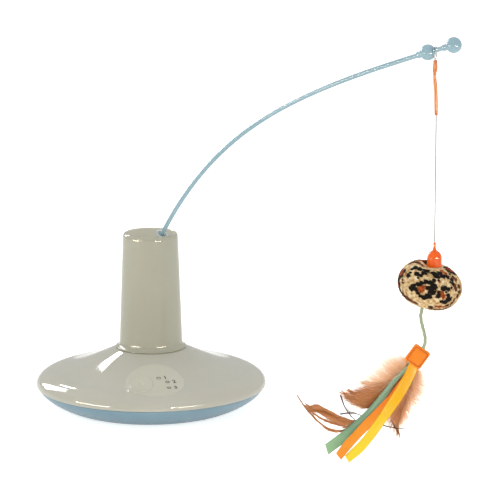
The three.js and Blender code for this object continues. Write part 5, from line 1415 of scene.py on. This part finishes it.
def satin(name, stops, edge):
    """Satin: colour with a painted sheen that runs along the strip, fine crosswise weft, a gleam and a firmer darker
    edge.
    """
    finish = Finish(name, stops[1][1], 0.36)
    place = finish.node("ShaderNodeUVMap", uv_map="strip").outputs["UV"]
    parts = finish.node("ShaderNodeSeparateXYZ", {"Vector": place}).outputs
    weft = finish.node("ShaderNodeTexWave", {"Vector": place, "Scale": 1900, "Distortion": 1.2}, bands_direction="Y")
    warp = finish.node("ShaderNodeTexWave", {"Vector": place, "Scale": 800, "Distortion": 0.6}, bands_direction="X")
    # Painted sheen: the colour darkens and brightens along the ribbon's length.
    painted_sheen_run = finish.maths("MULTIPLY", parts["Y"], 8)
    cloud = finish.maths("MULTIPLY", finish.maths("SUBTRACT", finish.noise(70, 2), 0.5), 0.16)
    colour = finish.ramp(finish.maths("ADD", painted_sheen_run, cloud), stops)
    off_centre = finish.maths("ABSOLUTE", parts["X"], 0)
    border = finish.ramp(finish.maths("MULTIPLY", off_centre, 100), [(0.44, 0.0), (0.47, 1.0)])
    finish.link(finish.mix(finish.maths("MULTIPLY", border, 0.4), colour, linear(edge)), "Base Color")
    finish.set("Specular IOR Level", 0.35)
    finish.set("Anisotropic", 0.6)
    woven = finish.maths("ADD", weft.outputs["Fac"], finish.maths("MULTIPLY", warp.outputs["Fac"], 0.4))
    finish.bump(woven, 0.08, 0.0001)
    return finish.material


def ribbon(name, sewn, places, turns, rolls, slant, material, slot):
    """A woven strip turned about its run and rolled across it, both told as (share, degrees), with a cut end."""
    width, thickness, steps, cells, cut_share = 0.01, 0.0003, 110, 10, 0.93
    line = sewn_line(*sewn, places, steps)
    real_length = sum((b - a).length for a, b in zip(line, line[1:]))
    points, uvs = [], []
    for i, point in enumerate(line):
        share = i / steps
        way = (line[min(i + 1, steps)] - line[max(i - 1, 0)]).normalized()
        across = Vector((0, 1, 0)).cross(way).normalized()
        turn = math.radians(float(np.interp(share, *zip(*turns))))
        across.rotate(Matrix.Rotation(turn, 3, way))
        through = way.cross(across).normalized()
        skew = slant * max(0, share - cut_share) / (1 - cut_share)
        roll = math.radians(float(np.interp(share, *zip(*rolls))))
        bow = width / roll
        for k in range(cells + 1):
            place = k / cells * 2 - 1
            sweep = place * roll / 2
            ripple = 0.0002 * place * math.sin(30 * share + turns[0][1])
            points.append(
                point + across * bow * math.sin(sweep) + through * (bow * (1 - math.cos(sweep)) + ripple)
                + way * place * skew
            )
            uvs.append((place * width / 2, share * real_length))
    faces = [
        (i * (cells + 1) + k, i * (cells + 1) + k + 1, (i + 1) * (cells + 1) + k + 1, (i + 1) * (cells + 1) + k)
        for i in range(steps)
        for k in range(cells)
    ]
    made = piece_from(name, points, faces, crisp=no_crease)
    layer = made.data.uv_layers.new(name="strip")
    for loop in made.data.loops:
        layer.data[loop.index].uv = uvs[loop.vertex_index]
    thick = made.modifiers.new("thick", "SOLIDIFY")
    thick.thickness = thickness
    thick.offset = 0
    settle(made, "tag", material, slot, name.replace("_satin", "_ribbon"))
    return made


# Satin: each ribbon goes from a deeper shade at the tag to a brighter one at its cut end, a painted sheen along its
# length.
green_sheen_stops = [(0.0, "#8cb295"), (0.35, "#86ac8e"), (0.55, "#7fa688"), (0.7, "#78a182"), (1.0, "#9fcb99")]
orange_sheen_stops = [(0.0, "#ff7414"), (0.4, "#ff8a1e"), (0.7, "#ff9e28"), (1.0, "#ff9a26")]
yellow_sheen_stops = [(0.0, "#ffb010"), (0.3, "#ffc014"), (0.6, "#ffd824"), (1.0, "#ffec40")]
satin_green = satin("satin_green", green_sheen_stops, "#6f9a7c")
satin_orange = satin("satin_orange", orange_sheen_stops, "#f27414")
satin_yellow = satin("satin_yellow", yellow_sheen_stops, "#f0a810")
green_places = [(-12.6, 1.5, -16.4), (-28, 3.5, -34.3), (-48.1, 5.8, -62.2), (-67, 6.8, -81.5), (-89.8, 7.1, -99.6)]
orange_places = [
    (-14.6, 1.5, -25.8), (-29.4, -0.3, -48.2), (-51.3, -0.9, -71.4), (-70.9, -1.4, -93.4), (-78.9, -1.6, -104),
]
yellow_places = [(-13.1, -2.5, -25.9), (-22.6, -5.2, -42.4), (-36.4, -7, -63), (-56.6, -7.8, -91), (-71.1, -8, -104.8)]
ribbon(
    "green_satin", (-0.0029, 0.0009), green_places, [(0, 4), (0.5, 14), (1, 24)],
    [(0, 300), (0.15, 290), (0.3, 240), (0.45, 160), (0.65, 90), (0.85, 40), (1, 20)],
    -0.0016, satin_green, "satin_green",
)
ribbon(
    "orange_satin", (0.0012, 0.0004), orange_places, [(0, 10), (0.3, 30), (0.6, 40), (0.9, 44), (1, 50)],
    [(0, 230), (0.1, 200), (0.24, 90), (0.4, 50), (1, 14)], -0.0004, satin_orange, "satin_orange",
)
ribbon(
    "yellow_satin", (0.0026, -0.0009), yellow_places, [(0, 4), (0.3, 14), (0.5, 36), (0.9, 42), (1, 52)],
    [(0, 50), (0.3, 12), (0.6, 24), (1, 12)], -0.0002, satin_yellow, "satin_yellow",
)

# Long hackle
# The long chestnut feather that sweeps down from the tag and curves up to a fine dark tip, split in three strips.
# Each feather has a tapered shaft and rows of thin barbs drawn together in clumps; the colour runs along each barb.
facing_camera = Vector((0, 1, 0))


def feather_finish(name, stops, roughness=0.7):
    """Barb colour by how far out it lies, with darker and lighter barbs side by side."""
    finish = Finish(name, stops[len(stops) // 2][1], roughness)
    place = finish.node("ShaderNodeUVMap", uv_map="strip").outputs["UV"]
    parts = finish.node("ShaderNodeSeparateXYZ", {"Vector": place}).outputs
    stripe = finish.node("ShaderNodeMapping", {"Vector": place, "Scale": (120, 2, 1)}).outputs["Vector"]
    spread = finish.maths("MULTIPLY", finish.maths("SUBTRACT", finish.noise(1, 2, stripe), 0.5), 0.8)
    finish.link(finish.ramp(finish.maths("ADD", parts["Y"], spread), stops), "Base Color")
    finish.set("Sheen Weight", 0.2)
    finish.set("Specular IOR Level", 0.3)
    finish.set("Transmission Weight", 0.4)
    finish.set("IOR", 1.03)
    finish.bump(finish.noise(1, 2, stripe), 0.15, 0.0001)
    return finish.material


class Plume:
    """Points, faces and UVs of feather strips under way."""

    def __init__(self):
        self.points, self.faces, self.uvs = [], [], []

    def blade(self, line, widths, facing, share, root_value=0.0, tip_value=1.0):
        """A flat strip along a line; its UV is (share along the shaft, share along the strip)."""
        first = len(self.points)
        for i, point in enumerate(line):
            way = (line[min(i + 1, len(line) - 1)] - line[max(i - 1, 0)]).normalized()
            across = way.cross(facing).normalized() * widths[i] / 2
            self.points += [point - across, point + across]
            value = root_value + (tip_value - root_value) * i / (len(line) - 1)
            self.uvs += [(share, value)] * 2
        for i in range(len(line) - 1):
            a = first + 2 * i
            self.faces.append((a, a + 1, a + 3, a + 2))

    def shaft(self, line, root, tip, value=0.0):
        """A round tapered quill along a line."""
        radii = [root + (tip - root) * i / (len(line) - 1) for i in range(len(line))]
        quill = skin(tube(line, radii, 8))
        self.uvs += [(0.5, value)] * len(quill[0])
        self.points, self.faces = together([(self.points, self.faces), quill])

    def vane(self, line, side, start, count, reach, lean, width=0.0005, ragged=0.25, clumps=26):
        """Barbs on one side of a shaft line, from a start share to its tip, drawn together in clumps."""
        last = len(line) - 1
        tones = [random.uniform(-1, 1) for _ in range(clumps + 2)]
        for n in range(count):
            share = min(start + (1 - start) * (n + random.random()) / count, 0.998)
            low = int(share * last)
            point = line[low].lerp(line[low + 1], share * last - low)
            way = (line[low + 1] - line[low]).normalized()
            across = way.cross(facing_camera).normalized() * side
            tone = tones[int(share * clumps)]
            length = reach(share) * (1 + ragged * tone) * random.uniform(1 - ragged, 1)
            angle = math.radians(lean(share)) * (1 + 0.25 * tone) + random.gauss(0, 0.03)
            lift = facing_camera * random.gauss(0, 0.06)
            out = (way * math.cos(angle) + across * math.sin(angle) + lift).normalized()
            tip = (way * math.cos(angle * 0.3) + across * math.sin(angle * 0.3) + lift).normalized()
            barb = [point]
            for step in range(1, 6):
                barb.append(barb[-1] + out.lerp(tip, step / 5).normalized() * length / 5)
            self.blade(barb, [width * (1 - 0.15 * k) for k in range(6)], facing_camera + lift * 3, share)

    def fan(self, starts, ends, count, width, sag, jitter, tip_value=1.0):
        """Loose barbs from one line to another, each a shallow arc that sags below its chord."""
        starts, ends = even(catmull(starts, 8), 60), even(catmull(ends, 8), 60)
        tones = [random.gauss(0, 1) for _ in range(31)]
        for n in range(count):
            share = (n + random.random()) / count * 0.999
            low = int(share * 60)
            root = starts[low].lerp(starts[low + 1], share * 60 - low)
            tip = ends[low].lerp(ends[low + 1], share * 60 - low)
            tone = tones[int(share * 30)]
            tip = root.lerp(tip, random.triangular(0.4, 1.3, 0.85) + 0.12 * tone)
            tip += Vector([random.gauss(0, jitter) for _ in range(3)]) * 1.6
            length = (tip - root).length
            bend = Vector((random.gauss(0, 0.04), random.gauss(0, 0.04), -sag + random.gauss(0, 0.04))) * length
            barb = [root.lerp(tip, k / 7) + bend * math.sin(math.pi * k / 7) for k in range(8)]
            lift = Vector([random.gauss(0, 0.25) for _ in range(3)])
            widths = [width * (1 - 0.12 * k) for k in range(8)]
            self.blade(barb, widths, facing_camera + lift, share, tip_value=tip_value)

    def wisps(self, line, count, length, width):
        """Fine curling down that stands off a line every way."""
        for _ in range(count):
            at = random.random() * (len(line) - 2)
            point = line[int(at)].lerp(line[int(at) + 1], at % 1)
            way = (line[int(at) + 1] - line[int(at)]).normalized()
            way = (way * 0.8 + Vector((random.gauss(0, 0.8), random.gauss(0, 0.3), random.gauss(0, 0.8)))).normalized()
            curl = Vector((random.gauss(0, 0.5), random.gauss(0, 0.2), random.gauss(0, 0.5)))
            reach = length * random.uniform(0.4, 1)
            barb = [point + way * reach * k / 6 + curl * reach * (k / 6) ** 2 for k in range(7)]
            self.blade(barb, [width] * 7, facing_camera, random.random(), root_value=0.4)

    def finish(self, name, body, material, slot, *nodes):
        made = piece_from(name, self.points, self.faces, crisp=math.pi)
        layer = made.data.uv_layers.new(name="strip")
        for loop in made.data.loops:
            layer.data[loop.index].uv = self.uvs[loop.vertex_index]
        return settle(made, body, material, slot, *nodes)


def swelling(least, most, start):
    """A barb length that grows and falls again between a start share and the tip."""
    return lambda share: least + most * math.sin(math.pi * max(0, min(1, (share - start) / (1.02 - start)))) ** 0.8


# Hackle: chestnut barbs, palest half way out and darker again at their tips.
hackle_finish = feather_finish(
    "feather_hackle", [(0.0, "#a5683e"), (0.2, "#c68755"), (0.5, "#dca473"), (0.75, "#e4b387"), (1.0, "#bf8156")],
)
hackle_places = [
    (-9.4, 2, -15.4), (-17.5, 6, -28), (-28.5, 9, -41.3), (-41.5, 11, -54.4), (-55.4, 12, -69.2),
    (-66.7, 12.5, -79.1), (-77, 12.6, -82.6), (-86.5, 12.6, -81.1), (-95, 12.6, -75.7), (-102.6, 12.6, -68.4),
    (-110.2, 12.6, -59.7), (-116.8, 12.6, -49.5),
]
hackle_vane_places = [
    (-30.3, 10, -46.4), (-43.3, 11.5, -59.4), (-56.3, 13, -72.4), (-67.6, 13.5, -73.5), (-79, 13.8, -70.2),
    (-90.3, 13.8, -65.3), (-99.8, 13.8, -62.9), (-107.3, 13.6, -58.9),
]
hackle_strip_places = [
    (-43.3, 11, -58.3), (-56.4, 12, -73.1), (-67.6, 12.8, -78.7), (-79.9, 13, -76.5), (-91.2, 13, -72.6),
    (-99.8, 13, -67.5), (-106.4, 12.9, -61.7),
]
long_line = sewn_line(-0.0039, 0.0019, hackle_places[1:], 120)
vane_line = even(catmull(hung(hackle_vane_places), 20), 90)
strip_line = even(catmull(hung(hackle_strip_places), 20), 70)
hackle = Plume()
hackle.shaft(long_line, 0.0005, 0.00012)
for side in (1, -1):
    hackle.vane(long_line, side, 0.5, 420, swelling(0.0022, 0.0042, 0.45), lambda s: 22 - 10 * s, 0.0006, 0.2)
    hackle.vane(vane_line, side, 0.08, 700, swelling(0.003, 0.017, 0.02), lambda s: 25 - 9 * s, 0.0007, 0.12, 14)
    hackle.vane(strip_line, side, 0.2, 260, swelling(0.002, 0.0045, 0.1), lambda s: 20 - 6 * s, 0.0006, 0.3)
hackle.shaft(vane_line, 0.0003, 0.0001)
for side in (1, -1):
    hackle.vane(long_line, side, 0.84, 220, lambda s: 0.009 * (1.05 - s) ** 0.4, lambda s: 10, 0.0005, 0.1)
hackle.finish("hackle", "tag", hackle_finish, "feather_brown", "long_feather")

# Short feathers
# Body feathers behind the ribbons: a forked brown one, the brown vane above it and soft peach down over both.
# Bare dark quills show below them. All are sewn in the tag's foot.

# Down: peach that fades to cream; the bare quills between are dark brown and a little shiny.
down_finish = feather_finish(
    "feather_down", [(0.0, "#e2b083"), (0.3, "#f2c99f"), (0.6, "#fadaba"), (0.85, "#fdead6"), (1.0, "#fff4e8")], 0.9,
)
quill_finish = feather_finish("feather_quill", [(0.0, "#3f2216"), (0.5, "#4f2c1b"), (1.0, "#6a3d26")], 0.5)
body_places = [
    (-9.4, 2, -15.4), (-17.4, 8, -30.4), (-27.3, 13, -45.2), (-38.4, 16.5, -56.3), (-49.6, 18, -58.1),
    (-60, 18.4, -54.8), (-67.6, 18.4, -50.9), (-72.8, 18.4, -48.1),
]
fork_places = [
    (-28.3, 13.4, -39.5), (-38.4, 17, -50.1), (-48.7, 18.8, -52.5), (-58.2, 19, -50.6), (-64.8, 19, -47.2),
    (-68.3, 19, -45.7),
]
lower_roots = [
    (-18.3, 9, -30.6), (-25.5, 12, -41.1), (-32.9, 14.5, -50.4), (-41.2, 16, -57.6), (-46.8, 17, -60.8),
]
lower_tips = [
    (-61, 20, -39.2), (-60.1, 20, -43.1), (-65.7, 19.6, -46.4), (-72.3, 19, -48.5), (-69.5, 19, -52.5),
    (-61.9, 19, -57.9),
]
upper_roots = [
    (-10.3, 3, -13.7), (-13.9, 5, -20), (-19.2, 9, -29.7), (-25.6, 12, -38.2), (-32, 14.5, -45.6),
]
upper_tips = [
    (-17.6, 8, -10.1), (-26.7, 13, -10.4), (-36.9, 17, -12.3), (-41.5, 18, -20.3), (-49.8, 19, -28.7),
    (-59.2, 20, -34.8), (-62, 20, -38.2),
]
lamella_places = [
    (-17.4, 9, -24.8), (-28.3, 15, -36), (-40.3, 18.5, -41.3), (-50.7, 20, -39.2), (-57.9, 20.4, -37.1),
]
second_lamella = [
    (-15.6, 8, -20.7), (-26.4, 15, -31.2), (-37.5, 19, -37.6), (-46.9, 20.6, -38), (-54.2, 21, -36.4),
]
short_line = sewn_line(-0.001, 0.0019, body_places[1:], 90)
fork_line = even(catmull(hung(fork_places), 20), 50)
short = Plume()
short.shaft(short_line, 0.0004, 0.0001)
for side in (1, -1):
    short.vane(short_line, side, 0.3, 520, swelling(0.004, 0.01, 0.2), lambda s: 26 - 12 * s, 0.0006, 0.2)
    short.vane(fork_line, side, 0.1, 260, swelling(0.003, 0.006, 0.1), lambda s: 22 - 10 * s, 0.0006, 0.2)
short.fan(hung(lower_roots), hung(lower_tips), 1100, 0.00045, 0.1, 0.0008)
short.finish("body_feathers", "tag", hackle_finish, "feather_brown", "short_feather")
peach = Plume()
peach.fan(hung(upper_roots), hung(upper_tips), 1900, 0.00028, 0.1, 0.0012)
for places in (lamella_places, second_lamella):
    lamella = even(catmull(hung(places), 12), 40)
    for side in (1, -1):
        peach.vane(lamella, side, 0.3, 220, swelling(0.002, 0.004, 0.2), lambda s: 18, 0.0004, 0.3)
peach.wisps(hung(upper_roots), 260, 0.02, 0.00012)
peach.finish("peach_down", "tag", down_finish, "down")
quills = Plume()
for places in (
    [(-76.7, 14.5, -48.5), (-73.4, 14.5, -58.2), (-68.9, 14.5, -66), (-63.8, 14.5, -71.8), (-58.1, 14.5, -75.7)],
    [(-77.1, 15, -67.1), (-69.5, 15, -66.1), (-62, 15, -66.6), (-52.5, 15, -71)],
    [(-41.7, 2.2, -73.5), (-47.3, 2.2, -80.3), (-52.1, 2.2, -83.8)],
    [(-40.7, 25, -76.5), (-35, 25, -80.8), (-27.4, 25, -82.7), (-20.7, 25, -83.7), (-14.1, 25, -83.4)],
    [(-28.3, 26, -75.8), (-24.5, 26, -82.7), (-20.6, 26, -89.5)],
):
    quills.shaft(even(catmull(hung(places), 10), 30), 0.0007, 0.0003, 0.5)
quills.wisps(hung([(-62, 15, -66), (-70, 15, -66), (-74, 15, -58)]), 60, 0.012, 0.0001)
quills.finish("bare_quills", "tag", quill_finish, "feather_brown")

# Down tuft
# Brown barbs behind the ribbons on the right that fade to pale loose down at their ragged edge.
# They grow from one soft shaft that is sewn in the tag's foot.

# Tuft: brown at the shaft, fading to pale buff.
tuft_finish = feather_finish(
    "feather_tuft", [(0.0, "#c0865a"), (0.3, "#d8a074"), (0.6, "#e9b992"), (1.0, "#f2d2b2")], 0.8,
)
tuft_places = [
    (-7.4, 3, -17.6), (-9.6, 12, -34.3), (-14.2, 20, -51.8), (-19, 25, -67.7), (-22, 28, -80.2), (-21.4, 29, -89.3),
]
right_roots = [
    (-6.5, 3, -18.6), (-8.3, 10, -30.9), (-12, 18, -45.5), (-16.3, 23, -59.4), (-19.8, 27, -72.2),
]
right_tips = [
    (-0.3, 12, -25.6), (3.8, 16, -37.2), (2, 22, -51.4), (-6.6, 27, -66.8), (-12.9, 30, -77.8), (-19.9, 31, -88.9),
]
left_roots = [
    (-8.3, 4, -19.8), (-11.5, 11, -36), (-16.6, 19, -52.5), (-21.9, 24, -67.5),
]
left_tips = [
    (-17.6, 18, -46.5), (-22.9, 23, -60.4), (-28.3, 27, -73.1), (-32.5, 28, -81.2), (-23.3, 29, -88.4),
]
tuft_line = sewn_line(0.0031, 0.0019, tuft_places[1:], 80)
tuft = Plume()
tuft.shaft(tuft_line, 0.0004, 0.0001)
for side in (1, -1):
    tuft.vane(tuft_line, side, 0.2, 420, swelling(0.006, 0.01, 0.1), lambda s: 30 - 14 * s, 0.0004, 0.3)
tuft.fan(hung(left_roots), hung(left_tips), 1100, 0.0004, 0.04, 0.001, tip_value=0.8)
tuft.finish("tuft", "tag", tuft_finish, "down", "down_tuft")
edge_down = Plume()
edge_down.fan(hung(right_roots), hung(right_tips), 1500, 0.00022, 0.06, 0.0016)
edge_down.wisps(hung(right_roots), 240, 0.014, 0.00011)
edge_down.finish("edge_down", "tag", down_finish, "down")

# Inner pieces
# Cells, contacts, board, switch, motor, gears, shafts and screws, hidden in the base and the tower.
# The CAD pieces keep their shapes and get the finish of what they are made of.

# White and cream plastics are dull; brass and nickel show drawn lines; the board is lacquer green.
white_plastic = moulded("white_plastic", "#e4e2da", "#dedcd3", "#e9e7e0", 0.42).material
gear_plastic = moulded("gear_plastic", "#efece2", "#e8e4d8", "#f3f1e9", 0.45).material
brass = metal("brass", "#c9a35a", "#b08a45", 0.34).material
nickel = metal("nickel", "#cfcec8", "#b5b4ad", 0.3).material
board_finish = Finish("board", "#2f6b46", 0.4)
board_finish.mottle(220, 2, [(0.45, "#2a6240"), (0.52, "#3a7d54")])
switch_finish = moulded("switch_black", "#26272a", "#1f2022", "#303135", 0.45)
jacket = Finish("cell_jacket", "#3b4a57", 0.3)
length_way = jacket.node("ShaderNodeSeparateXYZ", {"Vector": jacket.place}).outputs["X"]
end_band = jacket.ramp(
    jacket.maths("MULTIPLY", jacket.maths("ABSOLUTE", length_way, 0), 20), [(0.44, "#3b4a57"), (0.46, "#b9a06a")],
)
jacket.link(end_band, "Base Color")
inner_finishes = {
    "circuit_board": board_finish.material, "press_switch": switch_finish.material, "switch_plunger": white_plastic,
    "battery_door": blue_plastic, "battery_cell_1": jacket.material, "battery_cell_2": jacket.material,
    "battery_cell_3": jacket.material, "positive_contact": nickel, "rear_link_contact": nickel,
    "front_link_contact": nickel, "negative_contact": nickel, "motor": steel, "motor_shaft": steel,
    "motor_pinion": brass, "first_gear": gear_plastic, "second_gear": gear_plastic, "output_gear": gear_plastic,
    "gear_arbor_1": steel, "gear_arbor_2": steel, "gear_frame": white_plastic, "gear_lid": white_plastic,
    "gear_screw_1": steel, "gear_screw_2": steel, "gear_screw_3": steel, "output_shaft": steel,
}
for name, material in inner_finishes.items():
    for holder in frame["nodes"][name].material_slots:
        holder.material = material
